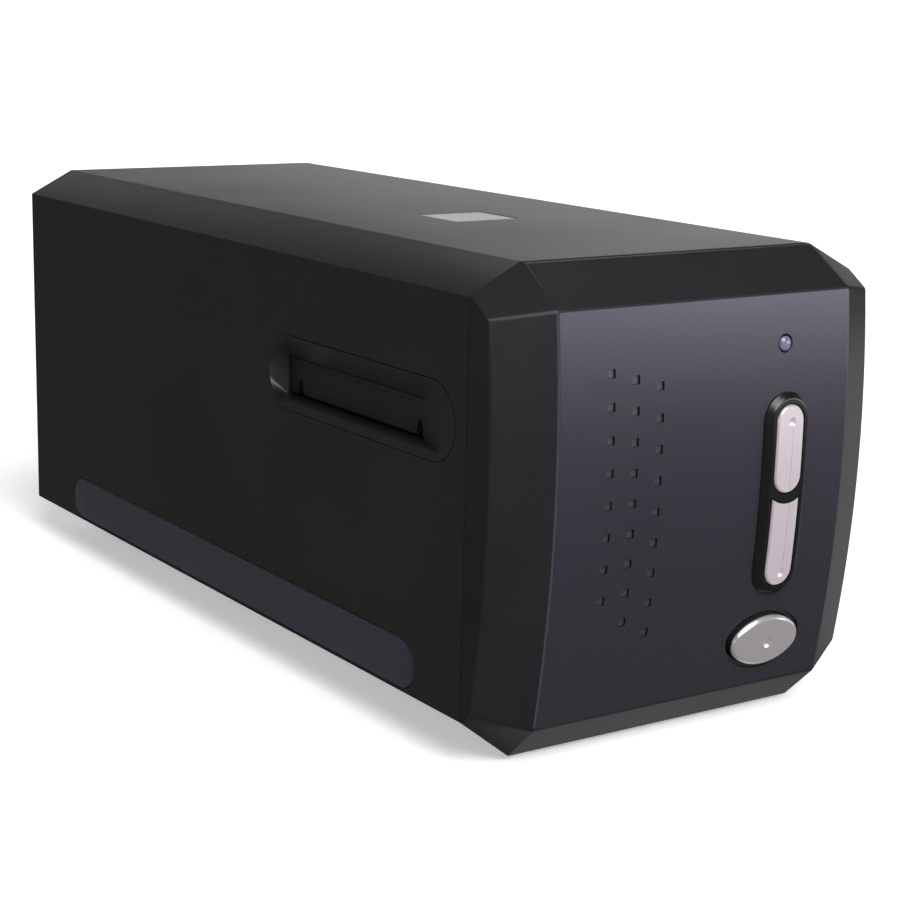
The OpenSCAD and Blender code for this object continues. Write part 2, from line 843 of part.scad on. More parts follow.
// The flap hangs from a knuckle, with a notch near each lower corner
module dust_flap(side) {
    end_gap = 0.3;
    notch = [[-1.3, -1], [1.3, -1], [1.3, 1.6], [0.8, 3.2], [0, 4.1], [-0.8, 3.2], [-1.3, 1.6]];
    color("#24252a")
        on_side(side)
            difference() {
                union() {
                    block([flap_x - flap_t / 2, slot_y[0] + end_gap, up(h_flap_low)],
                        [flap_x + flap_t / 2, slot_y[1] - end_gap, up(h_hinge)]);
                    rod_y(flap_x, slot_y[0] + end_gap, slot_y[1] - end_gap, up(h_hinge), 0.95);
                    rod_y(flap_x, slot_y[0] - 1.8, slot_y[1] + pocket_wall + pocket_len - 0.3, up(h_hinge), pin_r);
                }
                for (y = [slot_y[0] + 3, slot_y[1] - 5])
                    translate([flap_x - 2, y, up(h_flap_low)])
                        rotate([90, 0, 90])
                            linear_extrude(4)
                                polygon(notch);
            }
}

module flap_spring(side) {
    color("silver")
        on_side(side)
            translate([flap_x, slot_y[1] + pocket_wall + 0.4, up(h_hinge)])
                rotate([-90, 0, 0])
                    coil(1.2, 0.14, 5, 2.6);
}

guide_x = half_w - 8.2;
guide_t = 2;
window_y = [back(55), back(91)];
window_x = 21;
detent_x = 30;
detent_z = up(mid(h_slot));

module film_guide() {
    outer = [[-guide_x, slot_y[0] - guide_t, up(h_slot[0]) - guide_t],
        [guide_x, slot_y[1] + guide_t, up(h_slot[1]) + 0.9 + guide_t]];
    color("#1f2023")
        difference() {
            union() {
                block(outer[0], outer[1]);
                for (x = [-guide_x, guide_x - 4], y = [slot_y[0] - guide_t, slot_y[1] - 3])
                    block([x, y, chassis_z + 2], [x + 4, y + 5, outer[0][2] + 1]);
                rod_y(detent_x, slot_y[1], slot_y[1] + 9, detent_z, 3.5);
            }
            block([-guide_x - 1, slot_y[0], up(h_slot[0])],
                [guide_x + 1, slot_y[1], up(h_slot[1]) + 0.9]);
            block([-window_x, window_y[0], 0], [window_x, window_y[1], up(body_h)]);
            rod_y(detent_x, slot_y[1] - 1, slot_y[1] + 7, detent_z, 1.8 + running_gap);
        }
}

// A ball-nosed pin that clicks into the film holder at each frame
module detent_plunger() {
    nose_r = 1.8;
    color("#d8d8d2")
        union() {
            rod_y(detent_x, slot_y[1] + 0.9, slot_y[1] + 3, detent_z, nose_r);
            translate([detent_x, slot_y[1] + 0.9, detent_z])
                sphere(r = nose_r, $fn = 64);
        }
}

module detent_spring() {
    color("silver")
        translate([detent_x, slot_y[1] + 3.2, detent_z])
            rotate([-90, 0, 0])
                coil(1.2, 0.18, 5, 3.5);
}

// ---------- scan drive ----------

scan_y = back(89);
gear_x = 38;
gear_y = back(192);
pinion_y = gear_y + gear_module * (gear_teeth + pinion_teeth) / 2;
idler_y = back(42);
gear_z = 37;
gear_t = 6;
belt_z = gear_z + gear_t + 0.5;
rod_x_at = -36;
rail_x = 36;
rod_z_at = 32;
body_z = 40;
shaft_r = 1.5;

module chassis() {
    front = back(28);
    rear = back(232);
    plate_top = chassis_z + 2;
    color("#8d9094")
        difference() {
            union() {
                block([-43, front, chassis_z], [43, rear, plate_top]);
                for (x = [-guide_x, guide_x - 8], y = [slot_y[0] - 3, slot_y[1] - 4])
                    block([x, y, chassis_z], [x + 8, y + 7, plate_top]);
                for (ear = [[rod_x_at, 32], [rod_x_at, 180], [rail_x, 57], [rail_x, 180]])
                    block([ear[0] - 6, back(ear[1]), chassis_z], [ear[0] + 6, back(ear[1]) + 5, rod_z_at + 5]);
                block([gear_x - 5, front, chassis_z], [gear_x + 3, front + 1.5, plate_top + 9]);
                for (x = [-43, 41.5])
                    block([x, front, chassis_z], [x + 1.5, rear, plate_top + 4]);
                rod_z(gear_x, gear_y, chassis_z, belt_z + belt_w + 1.5, shaft_r);
                rod_z(gear_x, gear_y, chassis_z, gear_z - 0.3, 4);
            }
            block([-29, back(60), chassis_z - 1], [29, back(150), plate_top + 1]);
            block([-29, back(172), chassis_z - 1], [17, rear + 1, plate_top + 1]);
            rod_y(rod_x_at, back(30), back(190), rod_z_at, rod_r + 0.02);
            rod_y(rail_x, back(55), back(190), rod_z_at, rail_r + 0.02);
            block([41, back(194), plate_top], [44, back(226), plate_top + 5]);
            for (s = [-1, 1], b = post_back)
                rod_z(s * post_x, back(b), chassis_z - 1, plate_top + 1, 1.6);
        }
}

module guide_rods() {
    color("#d0d2d4")
        union() {
            rod_y(rod_x_at, back(31), back(186), rod_z_at, rod_r);
            rod_y(rail_x, back(56), back(186), rod_z_at, rail_r);
        }
}

bush_y = [scan_y - 4, scan_y + 68];
bush_len = 10;
carriage_y = [scan_y - 13, scan_y + 115];
carriage_wall = 2;
arm_z = up(h_slot[1]) + 15;
riser_y = scan_y + 53;

// The carriage's plan, narrowing from the mirror to the sensor, moved in by inset
module carriage_plan(inset) {
    front_w = 24.5 - inset;
    rear_w = 17 - inset;
    polygon([[-front_w, carriage_y[0] + inset], [front_w, carriage_y[0] + inset],
        [rear_w, carriage_y[1] - inset], [-rear_w, carriage_y[1] - inset]]);
}

module carriage() {
    tray_top = 67;
    clamp_x = gear_x - pulley_r - belt_t / 2;
    color("#202226")
        difference() {
            union() {
                translate([0, 0, body_z])
                    linear_extrude(tray_top - body_z)
                        carriage_plan(0);
                for (y = bush_y)
                    block([rod_x_at - 6, y, rod_z_at - 6.5], [-16, y + bush_len, body_z + 2]);
                block([16, bush_y[0] + 25, rod_z_at - 4.5], [rail_x + 4, bush_y[0] + 35, body_z + 1]);
                block([18, scan_y + 32, body_z + 3], [clamp_x + 2.5, scan_y + 42, belt_z + belt_w + 1]);
                for (s = [-1, 1])
                    block([s * 17.5 - 2, riser_y, body_z + 1], [s * 17.5 + 2, riser_y + 8, arm_z + 4]);
                translate([0, 0, arm_z])
                    linear_extrude(4)
                        polygon([[-26, scan_y - 9], [26, scan_y - 9], [19.5, riser_y + 8], [-19.5, riser_y + 8]]);
            }
            translate([0, 0, body_z + carriage_wall])
                linear_extrude(tray_top)
                    difference() {
                        carriage_plan(carriage_wall);
                        translate([-30, riser_y - 1])
                            square([60, 10]);
                    }
            block([-14, riser_y - 2, body_z + 2], [14, riser_y + 10, tray_top - 2]);
            for (y = bush_y)
                rod_y(rod_x_at, y - 1, y + bush_len + 1, rod_z_at, 5.02);
            block([rail_x - 5, bush_y[0] + 24, rod_z_at - rail_r - running_gap],
                [rail_x + 5, bush_y[0] + 36, rod_z_at + rail_r + running_gap]);
            block([clamp_x - belt_t / 2 - 0.1, scan_y + 31, belt_z - 0.1],
                [clamp_x + belt_t / 2 + 0.1, scan_y + 43, belt_z + belt_w + 2]);
            block([-14, scan_y + 8, arm_z - 1], [14, riser_y - 6, arm_z + 5]);
            block([-8, sensor_y + 4, cable_top - 1], [8, carriage_y[1] + 1, cable_top + 0.7]);
            translate([0, lens_y[0] + 2, lens_z])
                rotate([-90, 0, 0])
                    cylinder(r = 9.1, h = 20, $fn = fine);
        }
}

module carriage_bushes() {
    color("#b08d57")
        for (y = bush_y)
            difference() {
                rod_y(rod_x_at, y, y + bush_len, rod_z_at, 5);
                rod_y(rod_x_at, y - 1, y + bush_len + 1, rod_z_at, rod_r + running_gap);
            }
}

module lamp_holder() {
    color("#e9e9e4")
        difference() {
            block([-27, scan_y - 8, arm_z - 9], [27, scan_y + 8, arm_z - small]);
            block([-25.5, scan_y - 6.5, arm_z - 10], [25.5, scan_y + 6.5, arm_z - 4]);
            rod_x(-25.5, 25.5, scan_y, arm_z - 4, 3);
        }
}

module lamp_tube() {
    color("#f4f6ff")
        rod_x(-25.4, 25.4, scan_y, arm_z - 4.2, 1.3);
}

mirror_z = 54;

module fold_mirror() {
    color("#dfe6ea")
        translate([0, scan_y, mirror_z])
            rotate([-45, 0, 0])
                translate([-21, -11, -3])
                    cube([42, 22, 3]);
}

lens_y = [scan_y + 66, scan_y + 90];
lens_z = 54;

module lens_barrel() {
    color("#141416")
        difference() {
            union() {
                rod_y(0, lens_y[0], lens_y[1], lens_z, 9);
                rod_y(0, lens_y[0] + 8, lens_y[0] + 12, lens_z, 10.5);
            }
            rod_y(0, lens_y[0] - 1, lens_y[1] + 1, lens_z, 6);
            rod_y(0, lens_y[0] - 1, lens_y[0] + 3, lens_z, 7);
        }
}

module lens_elements() {
    curve_r = 16;
    color("#9fb4d0")
        for (y = [lens_y[0] + 5, lens_y[1] - 5])
            intersection() {
                rod_y(0, y - 4, y + 4, lens_z, 5.95);
                translate([0, y - curve_r + 2, lens_z])
                    sphere(r = curve_r, $fn = fine);
                translate([0, y + curve_r - 2, lens_z])
                    sphere(r = curve_r, $fn = fine);
            }
}

sensor_y = carriage_y[1] - 6;
cable_top = body_z + 8;

module sensor_board() {
    color("#1f5a36")
        union() {
            block([-14, sensor_y, body_z + 3], [14, sensor_y + 1.6, 66]);
            block([-13, sensor_y - 3, lens_z - 5], [13, sensor_y + 0.1, lens_z + 5]);
            block([-8, sensor_y + 1.5, body_z + 6], [8, sensor_y + 3.5, body_z + 10]);
        }
}

module stepper_motor() {
    color("#a7a9ab")
        difference() {
            union() {
                rod_z(gear_x, pinion_y, chassis_z + 2, chassis_z + 17, 12.5);
                rod_z(gear_x, pinion_y, chassis_z + 16, chassis_z + 18, 4.5);
                block([gear_x - 8, pinion_y + 11, chassis_z + 4], [gear_x + 4, pinion_y + 15, chassis_z + 14]);
            }
            rod_z(gear_x, pinion_y, chassis_z + 10, chassis_z + 19, shaft_r + running_gap);
        }
}

// A spur gear about +Z with straight-sided teeth, eased so that it runs with backlash
module spur_gear(teeth, thickness, bore_r) {
    pitch = 360 / teeth;
    root_r = gear_module * (teeth / 2 - 1.25);
    tip_r = gear_module * (teeth / 2 + 0.9);
    difference() {
        linear_extrude(thickness)
            polygon([for (i = [0:teeth - 1], corner = [[root_r, -0.34], [tip_r, -0.12], [tip_r, 0.12], [root_r, 0.34]])
                corner[0] * [cos((i + corner[1]) * pitch), sin((i + corner[1]) * pitch)]]);
        translate([0, 0, -1])
            cylinder(r = bore_r, h = thickness + 2, $fn = 48);
    }
}

module belt_pulley(height, bore_r) {
    difference() {
        union() {
            cylinder(r = pulley_r, h = height, $fn = fine);
            cylinder(r = pulley_r + 1.6, h = 0.7, $fn = fine);
            translate([0, 0, height - 0.7])
                cylinder(r = pulley_r + 1.6, h = 0.7, $fn = fine);
        }
        translate([0, 0, -1])
            cylinder(r = bore_r, h = height + 2, $fn = 48);
    }
}

module motor_pinion() {
    color("#c8a860")
        translate([gear_x, pinion_y, 0])
            union() {
                rotate([0, 0, 180 / pinion_teeth])
                    translate([0, 0, gear_z])
                        spur_gear(pinion_teeth, gear_t, 0.5);
                translate([0, 0, chassis_z + 11])
                    cylinder(r = shaft_r, h = gear_z + gear_t - chassis_z - 10, $fn = 48);
            }
}

module reduction_gear() {
    color("#e4e2da")
        translate([gear_x, gear_y, 0])
            union() {
                translate([0, 0, gear_z])
                    spur_gear(gear_teeth, gear_t - 0.5, shaft_r + running_gap);
                translate([0, 0, gear_z + gear_t - 0.6])
                    belt_pulley(belt_w + 1.6, shaft_r + running_gap);
            }
}

module belt_outline(r) {
    for (y = [idler_y, gear_y])
        translate([gear_x, y])
            circle(r = r, $fn = fine);
    translate([gear_x - r, idler_y])
        square([2 * r, gear_y - idler_y]);
}

module drive_belt() {
    color("#151515")
        translate([0, 0, belt_z])
            linear_extrude(belt_w - 0.6)
                difference() {
                    belt_outline(pulley_r + running_gap + belt_t);
                    belt_outline(pulley_r + running_gap);
                }
}

module idler_pulley() {
    color("#e4e2da")
        translate([gear_x, idler_y, gear_z + gear_t - 0.6])
            belt_pulley(belt_w + 1.6, shaft_r + running_gap);
}

module idler_bracket() {
    color("#9b9da0")
        union() {
            block([gear_x - 5, idler_y - 5, chassis_z + 2 + small], [gear_x + 3, idler_y + 13, chassis_z + 3.5]);
            block([gear_x - 5, idler_y - 5, chassis_z + 3], [gear_x + 3, idler_y - 4, chassis_z + 11]);
            rod_z(gear_x, idler_y, chassis_z + 3, belt_z + belt_w + 1.5, shaft_r);
            rod_z(gear_x, idler_y, chassis_z + 3, gear_z + gear_t - 0.8, 3.2);
        }
}

module tension_spring() {
    color("silver")
        translate([gear_x - 1, back(28) + 1.8, chassis_z + 7.5])
            rotate([-90, 0, 0])
                coil(1.6, 0.22, 6, idler_y - 5 - back(28) - 2.1);
}

module home_sensor() {
    color("#161616")
        difference() {
            block([-9, back(203), chassis_z - 6], [3, back(209), body_z - 1.2]);
            block([-5, back(202), body_z - 9], [-1, back(210), body_z]);
        }
}

// ---------- boards and sockets ----------

board_z = 8;
board_t = 1.6;
socket_z = board_z + board_t;
usb_x = -13;
jack_x = 13;
board_rear_y = rear_seam_y - 2.5;

module main_board() {
    color("#1f5a36")
        union() {
            block([-31, back(165), board_z], [31, board_rear_y, board_z + board_t]);
            block([-14, back(212), socket_z - 0.1], [2, back(226), socket_z + 1.6]);
            block([-26, back(190), socket_z - 0.1], [-18, back(198), socket_z + 1.4]);
            block([6, back(216), socket_z - 0.1], [16, back(226), socket_z + 1.2]);
            block([-9.5, back(170), socket_z - 0.1], [9.5, back(175), socket_z + 3]);
            for (x = [20, 27], b = [236, 246])
                rod_z(x, back(b), socket_z - 0.1, socket_z + 7, 3);
        }
}

module usb_socket() {
    y = [rear_y - 16.5, rear_y - 0.6];
    color("#c4c6c8")
        union() {
            difference() {
                block([usb_x - 6, y[0], socket_z + small], [usb_x + 6, y[1], socket_z + 11]);
                intersection() {
                    block([usb_x - 4.3, y[0] + 6, socket_z + 1.6], [usb_x + 4.3, y[1] + 1, socket_z + 9.4]);
                    translate([usb_x, 0, socket_z + 5.5])
                        rotate([0, 45, 0])
                            translate([-5.1, y[0], -5.1])
                                cube([10.2, 30, 10.2]);
                }
            }
            block([usb_x - 2.8, y[0] + 5, socket_z + 3.9], [usb_x + 2.8, y[1] - 2.5, socket_z + 7.1]);
        }
}

module dc_jack() {
    y = [rear_y - 14, rear_y - 0.6];
    color("#151515")
        union() {
            difference() {
                union() {
                    block([jack_x - 4.6, y[0], socket_z + small], [jack_x + 4.6, rear_seam_y - 0.1, socket_z + 10]);
                    rod_y(jack_x, y[0] + 3, y[1], socket_z + 5.5, 5);
                }
                rod_y(jack_x, y[0] + 3, y[1] + 1, socket_z + 5.5, 3.2);
            }
            rod_y(jack_x, y[0] + 2, y[1] - 1.5, socket_z + 5.5, 1);
        }
}

switches = [[scan_x, mid(h_upper)], [scan_x, mid(h_lower) - 1], [power_x, h_power]];

// The moving top of a switch, which a button's stem pushes
module switch_plunger(i) {
    color("#141414")
        union() {
            rod_y(switches[i][0], switch_tip_y, board_y - 1.7, up(switches[i][1]), switch_r);
            rod_y(switches[i][0], board_y - 2.3, board_y - 1.7, up(switches[i][1]), switch_r + 0.5);
        }
}

module switch_board() {
    color("#1f5a36")
        difference() {
            union() {
                block([8, board_y + small, up(13)], [41, board_y + 1.6, up(104)]);
                for (s = switches) {
                    block([s[0] - 3, board_y - 3.8, up(s[1]) - 3], [s[0] + 3, board_y + 0.1, up(s[1]) + 3]);
                }
                block([lamp_x - 1.5, board_y - 1, up(h_lamp) - 1.5], [lamp_x + 1.5, board_y + 0.1, up(h_lamp) + 1.5]);
            }
            for (x = board_post_x, h = board_post_h)
                rod_y(x, board_y - 1, board_y + 2, up(h), 1.3);
            for (s = switches) {
                rod_y(s[0], board_y - 4, board_y - 1, up(s[1]), switch_r + 0.05);
                rod_y(s[0], board_y - 2.4, board_y - 0.4, up(s[1]), switch_r + 0.6);
            }
        }
}

module board_screws() {
    color("silver")
        for (x = board_post_x, h = board_post_h)
            translate([x, board_y + 1.6 + small + 1.3, up(h)])
                rotate([90, 0, 0])
                    screw(0.88, 7, 2, 1.3);
}

// The ribbon from the sensor down to the main board, with one loop to follow the carriage
module flat_cable() {
    w = 14;
    t = 0.3;
    bend_r = 6;
    y0 = sensor_y + 3.6;
    y1 = back(223);
    top = cable_top;
    low = socket_z + 2.6;
    color("#e8e6dd")
        union() {
            block([-w / 2, y0, top - t], [w / 2, y1 - bend_r + small, top]);
            block([-w / 2, y1 - t, low + bend_r - small], [w / 2, y1, top - bend_r + small]);
            block([-w / 2, back(209.5), low], [w / 2, y1 - bend_r + small, low + t]);
            for (end = [[top - bend_r, 0], [low + bend_r, -90]])
                translate([-w / 2, y1 - bend_r, end[0]])
                    rotate([90, 0, 90])
                        rotate([0, 0, end[1]])
                            rotate_extrude(angle = 90, $fn = fine)
                                translate([bend_r - t, 0])
                                    square([t, w]);
        }
}

housing();
base();
rear_panel();
front_bezel();
button_collar();
scan_button_upper();
scan_button_lower();
power_button();
status_lens();
top_badge();
side_strip("left");  // side_strip_left
side_strip("right");  // side_strip_right
slot_frame("left");  // slot_frame_left
slot_frame("right");  // slot_frame_right
dust_flap("left");  // dust_flap_left
dust_flap("right");  // dust_flap_right
flap_spring("left");  // flap_spring_left
flap_spring("right");  // flap_spring_right
film_guide();
detent_plunger();
detent_spring();
chassis();
guide_rods();
carriage();
carriage_bushes();
lamp_holder();
lamp_tube();
fold_mirror();
lens_barrel();
lens_elements();
sensor_board();
stepper_motor();
motor_pinion();
reduction_gear();
drive_belt();
idler_pulley();
idler_bracket();
tension_spring();
home_sensor();
main_board();
usb_socket();
dc_jack();
switch_board();
switch_plunger(0);  // switch_plunger_upper
switch_plunger(1);  // switch_plunger_lower
switch_plunger(2);  // switch_plunger_power
board_screws();
flat_cable();
feet();
base_screws();
rear_screws();
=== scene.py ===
import json
import math

import bmesh
import bpy
from bpy.props import FloatProperty, FloatVectorProperty, PointerProperty
from mathutils import Matrix, Vector
from mathutils.bvhtree import BVHTree

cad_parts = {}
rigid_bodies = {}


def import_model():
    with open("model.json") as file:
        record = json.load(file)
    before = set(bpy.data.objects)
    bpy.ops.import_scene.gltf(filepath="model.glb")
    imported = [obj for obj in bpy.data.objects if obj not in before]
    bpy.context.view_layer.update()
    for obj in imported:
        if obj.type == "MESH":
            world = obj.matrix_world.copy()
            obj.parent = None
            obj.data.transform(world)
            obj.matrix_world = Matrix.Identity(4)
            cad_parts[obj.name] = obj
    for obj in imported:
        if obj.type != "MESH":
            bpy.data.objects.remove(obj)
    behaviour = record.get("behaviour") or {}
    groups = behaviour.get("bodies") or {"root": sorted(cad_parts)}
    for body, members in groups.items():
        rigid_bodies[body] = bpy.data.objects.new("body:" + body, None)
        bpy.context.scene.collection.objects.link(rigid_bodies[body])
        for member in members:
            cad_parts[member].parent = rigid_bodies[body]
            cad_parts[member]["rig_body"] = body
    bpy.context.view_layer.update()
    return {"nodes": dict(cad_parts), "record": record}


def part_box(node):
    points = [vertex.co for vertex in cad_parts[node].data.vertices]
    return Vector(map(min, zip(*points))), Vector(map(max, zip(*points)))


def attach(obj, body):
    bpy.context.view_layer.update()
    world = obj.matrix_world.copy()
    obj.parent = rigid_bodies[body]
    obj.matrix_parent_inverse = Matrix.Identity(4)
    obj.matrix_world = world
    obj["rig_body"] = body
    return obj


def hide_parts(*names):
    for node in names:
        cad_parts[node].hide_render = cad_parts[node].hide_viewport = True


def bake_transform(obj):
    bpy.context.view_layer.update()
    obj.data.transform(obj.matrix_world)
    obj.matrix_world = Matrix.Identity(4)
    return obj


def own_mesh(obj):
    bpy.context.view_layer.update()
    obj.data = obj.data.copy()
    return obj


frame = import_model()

bl_info = {
    "name": "Film Scanner Finish",
    "version": (1, 0, 0),
    "blender": (4, 5, 0),
    "location": "View3D > Sidebar > Film Scanner",
    "description": "Dresses the solids of a desktop film scanner and sets its studio",
    "category": "Object",
}

MM = 0.001
NODES = frame["nodes"]

# The front is turned about an axis that runs across the part
FRONT_RADIUS = 345 * MM
FRONT_HEIGHT = 74.5 * MM
FRONT_AXIS = Vector((0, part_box("front_bezel")[0].y + FRONT_RADIUS, FRONT_HEIGHT))

# Corners closer than this are one corner: in a solid's mesh, and in a wire that was turned and pushed
SAME_PLACE = 9e-6
SAME_POINT = 1e-7

# How a wire is divided
STEPS_PER_TURN = 28
WIRE_SIDES = 12


def millimetres(name, description, default):
    """A length that a user can change, given in millimetres."""
    return FloatProperty(name=name, description=description, default=default * MM, min=0, unit="LENGTH",
                         precision=5)


def colour(name, description, default):
    """A colour that a user can change."""
    return FloatVectorProperty(name=name, description=description, default=default, size=3, min=0, max=1,
                               subtype="COLOR")


class ScannerFinish(bpy.types.PropertyGroup):
    """Sizes and colours that a user would change"""

    form_round: millimetres("Form edges", "Rounding where two outer faces of a shell meet", 0.7)
    rim_round: millimetres("Rims", "Rounding of holes, seams and small edges", 0.2)
    button_round: millimetres("Button edges", "Rounding of the scan buttons' rims", 0.6)
    power_round: millimetres("Power button edge", "Rounding above the power button's shoulder", 0.6)
    slot_round: millimetres("Slot rims", "Rounding of the rims of the slot frames", 0.4)
    wire: millimetres("Spring wire", "Thickness of the springs' wire", 0.28)
    housing_colour: colour("Housing", "Greenish charcoal of the housing", (0.0094, 0.0106, 0.0084))
    housing_tint: colour("Housing tint", "Second tone of the housing", (0.0122, 0.0135, 0.011))
    panel_colour: colour("Front panel", "Violet grey lacquer of the front face", (0.0185, 0.0175, 0.0225))
    panel_tint: colour("Front panel tint", "Second tone of the front face", (0.0225, 0.021, 0.0275))
    bevel_colour: colour("Bevels", "Blue black of the bevels round the front", (0.0075, 0.0081, 0.0095))
    silver_colour: colour("Buttons", "Silver lacquer of the buttons", (0.69, 0.605, 0.66))
    power_colour: colour("Power button", "Darker silver lacquer of the power button", (0.66, 0.62, 0.63))
    strip_colour: colour("Side strips", "Blue grey of the side strips", (0.023, 0.026, 0.036))
    badge_colour: colour("Badge", "Lilac grey of the unlacquered plate in the top", (0.09, 0.088, 0.1))
    lens_colour: colour("Status lens", "Tint of the status lens", (0.21, 0.2, 0.3))
    floor_colour: colour("Floor", "Pale studio floor", (0.9, 0.9, 0.9))


# ---------- nodes of the materials ----------


def add(tree, kind, links=None, **values):
    """Adds a node, sets its fields and sockets, and links what feeds it."""
    node = tree.nodes.new(kind)
    for key, value in values.items():
        if hasattr(node, key):
            setattr(node, key, value)
        else:
            node.inputs[key].default_value = value
    for name, source in (links or {}).items():
        tree.links.new(source, node.inputs[name])
    return node


def new_group(name, inputs):
    """A node group with number inputs, a height and a tone, with its nodes for what goes in and out."""
    group = bpy.data.node_groups.new(name, "ShaderNodeTree")
    for label, default in inputs:
        made = group.interface.new_socket(name=label, in_out="INPUT", socket_type="NodeSocketFloat")
        made.default_value = default
    for label in ("Height", "Tone"):
        group.interface.new_socket(name=label, in_out="OUTPUT", socket_type="NodeSocketFloat")
    return group, group.nodes.new("NodeGroupInput"), group.nodes.new("NodeGroupOutput")


def math_node(tree, operation, a, b):
    """The result of one sum, where a and b are numbers or sockets."""
    node = tree.nodes.new("ShaderNodeMath")
    node.operation = operation
    for place, value in enumerate((a, b)):
        if isinstance(value, (int, float)):
            node.inputs[place].default_value = value
        else:
            tree.links.new(value, node.inputs[place])
    return node.outputs[0]


def moulded_grain():
    """Spark-eroded texture of a mould, with cloudy tone from handling."""
    tree, given, out = new_group("moulded grain", [("Grain", 2600.0), ("Cloud", 22.0)])
    place = add(tree, "ShaderNodeTexCoord").outputs["Object"]
    fine = add(tree, "ShaderNodeTexNoise", {"Vector": place, "Scale": given.outputs["Grain"]}, Detail=2.0)
    cells = add(tree, "ShaderNodeTexVoronoi", {"Vector": place, "Scale": given.outputs["Grain"]})
    cloud = add(tree, "ShaderNodeTexNoise", {"Vector": place, "Scale": given.outputs["Cloud"]}, Detail=4.0)
    grain = math_node(tree, "ADD", math_node(tree, "MULTIPLY", fine.outputs["Fac"], 0.7),
                      math_node(tree, "MULTIPLY", cells.outputs["Distance"], 0.4))
    tone = math_node(tree, "ADD", math_node(tree, "MULTIPLY", cloud.outputs["Fac"], 0.75),
                     math_node(tree, "MULTIPLY", fine.outputs["Fac"], 0.25))
    tree.links.new(grain, out.inputs["Height"])
    tree.links.new(tone, out.inputs["Tone"])
    return tree


def drawn_grain():
    """Fine lines drawn along one axis, as on brushed or drawn metal."""
    tree, given, out = new_group("drawn grain", [("Across", 3200.0), ("Along", 90.0), ("Turn", 0.0)])
    place = add(tree, "ShaderNodeTexCoord").outputs["Object"]
    angle = add(tree, "ShaderNodeCombineXYZ", {"X": given.outputs["Turn"]})
    turned = add(tree, "ShaderNodeVectorRotate", {"Vector": place, "Rotation": angle.outputs[0]},
                 rotation_type="EULER_XYZ")
    scale = add(tree, "ShaderNodeCombineXYZ", {"X": given.outputs["Across"], "Y": given.outputs["Across"],
                                               "Z": given.outputs["Along"]})
    stretched = add(tree, "ShaderNodeVectorMath", operation="MULTIPLY")
    tree.links.new(turned.outputs[0], stretched.inputs[0])
    tree.links.new(scale.outputs[0], stretched.inputs[1])
    lines = add(tree, "ShaderNodeTexNoise", {"Vector": stretched.outputs[0]}, Scale=1.0, Detail=3.0)
    cloud = add(tree, "ShaderNodeTexNoise", {"Vector": place}, Scale=60.0, Detail=3.0)
    tone = math_node(tree, "ADD", math_node(tree, "MULTIPLY", lines.outputs["Fac"], 0.6),
                     math_node(tree, "MULTIPLY", cloud.outputs["Fac"], 0.4))
    tree.links.new(lines.outputs["Fac"], out.inputs["Height"])
    tree.links.new(tone, out.inputs["Tone"])
    return tree


def flecked_lacquer():
    """Lacquer with tiny flecks and a faint orange peel."""
    tree, given, out = new_group("flecked lacquer", [("Fleck", 5200.0), ("Peel", 700.0)])
    place = add(tree, "ShaderNodeTexCoord").outputs["Object"]
    cells = add(tree, "ShaderNodeTexVoronoi", {"Vector": place, "Scale": given.outputs["Fleck"]})
    peel = add(tree, "ShaderNodeTexNoise", {"Vector": place, "Scale": given.outputs["Peel"]}, Detail=2.0)
    chosen = add(tree, "ShaderNodeSeparateColor", {"Color": cells.outputs["Color"]}).outputs[0]
    fleck = math_node(tree, "POWER", chosen, 6.0)
    cloud = add(tree, "ShaderNodeTexNoise", {"Vector": place}, Scale=35.0, Detail=3.0)
    tone = math_node(tree, "ADD", math_node(tree, "MULTIPLY", fleck, 0.5),
                     math_node(tree, "MULTIPLY", cloud.outputs["Fac"], 0.5))
    tree.links.new(peel.outputs["Fac"], out.inputs["Height"])
    tree.links.new(tone, out.inputs["Tone"])
    return tree


def etched_board():
    """Copper tracks under the solder mask of a circuit board."""
    tree, given, out = new_group("etched board", [("Tracks", 330.0), ("Wander", 0.35)])
    place = add(tree, "ShaderNodeTexCoord").outputs["Object"]
    cells = add(tree, "ShaderNodeTexVoronoi", {"Vector": place, "Scale": given.outputs["Tracks"]},
                distance="CHEBYCHEV", feature="F1")
    bands = math_node(tree, "PINGPONG", math_node(tree, "MULTIPLY", cells.outputs["Distance"], 4.0),
                      given.outputs["Wander"])
    track = math_node(tree, "GREATER_THAN", bands, 0.2)
    tree.links.new(track, out.inputs["Height"])
    tree.links.new(track, out.inputs["Tone"])
    return tree


def ribbed():
    """Even ribs across one axis, as on a toothed belt or a ribbon cable."""
    tree, given, out = new_group("ribbed", [("Ribs", 1000.0), ("Turn", 0.0)])
    place = add(tree, "ShaderNodeTexCoord").outputs["Object"]
    angle = add(tree, "ShaderNodeCombineXYZ", {"Z": given.outputs["Turn"]})
    turned = add(tree, "ShaderNodeVectorRotate", {"Vector": place, "Rotation": angle.outputs[0]},
                 rotation_type="EULER_XYZ")
    split = add(tree, "ShaderNodeSeparateXYZ", {"Vector": turned.outputs[0]})
    turns = math_node(tree, "MULTIPLY", given.outputs["Ribs"], math.tau)
    wave = math_node(tree, "SINE", math_node(tree, "MULTIPLY", split.outputs["X"], turns), 0.0)
    height = math_node(tree, "ADD", math_node(tree, "MULTIPLY", wave, 0.5), 0.5)
    tree.links.new(height, out.inputs["Height"])
    tree.links.new(height, out.inputs["Tone"])
    return tree


GRAIN_MAKERS = {
    "moulded": moulded_grain,
    "drawn": drawn_grain,
    "flecked": flecked_lacquer,
    "board": etched_board,
    "ribbed": ribbed,
}
GRAINS = {}


def grain_group(kind):
    """The node group of one kind of surface, made once."""
    if kind not in GRAINS:
        GRAINS[kind] = GRAIN_MAKERS[kind]()
    return GRAINS[kind]


def toned(colour, factor):
    """A colour made lighter or darker."""
    return tuple(part * factor for part in colour)


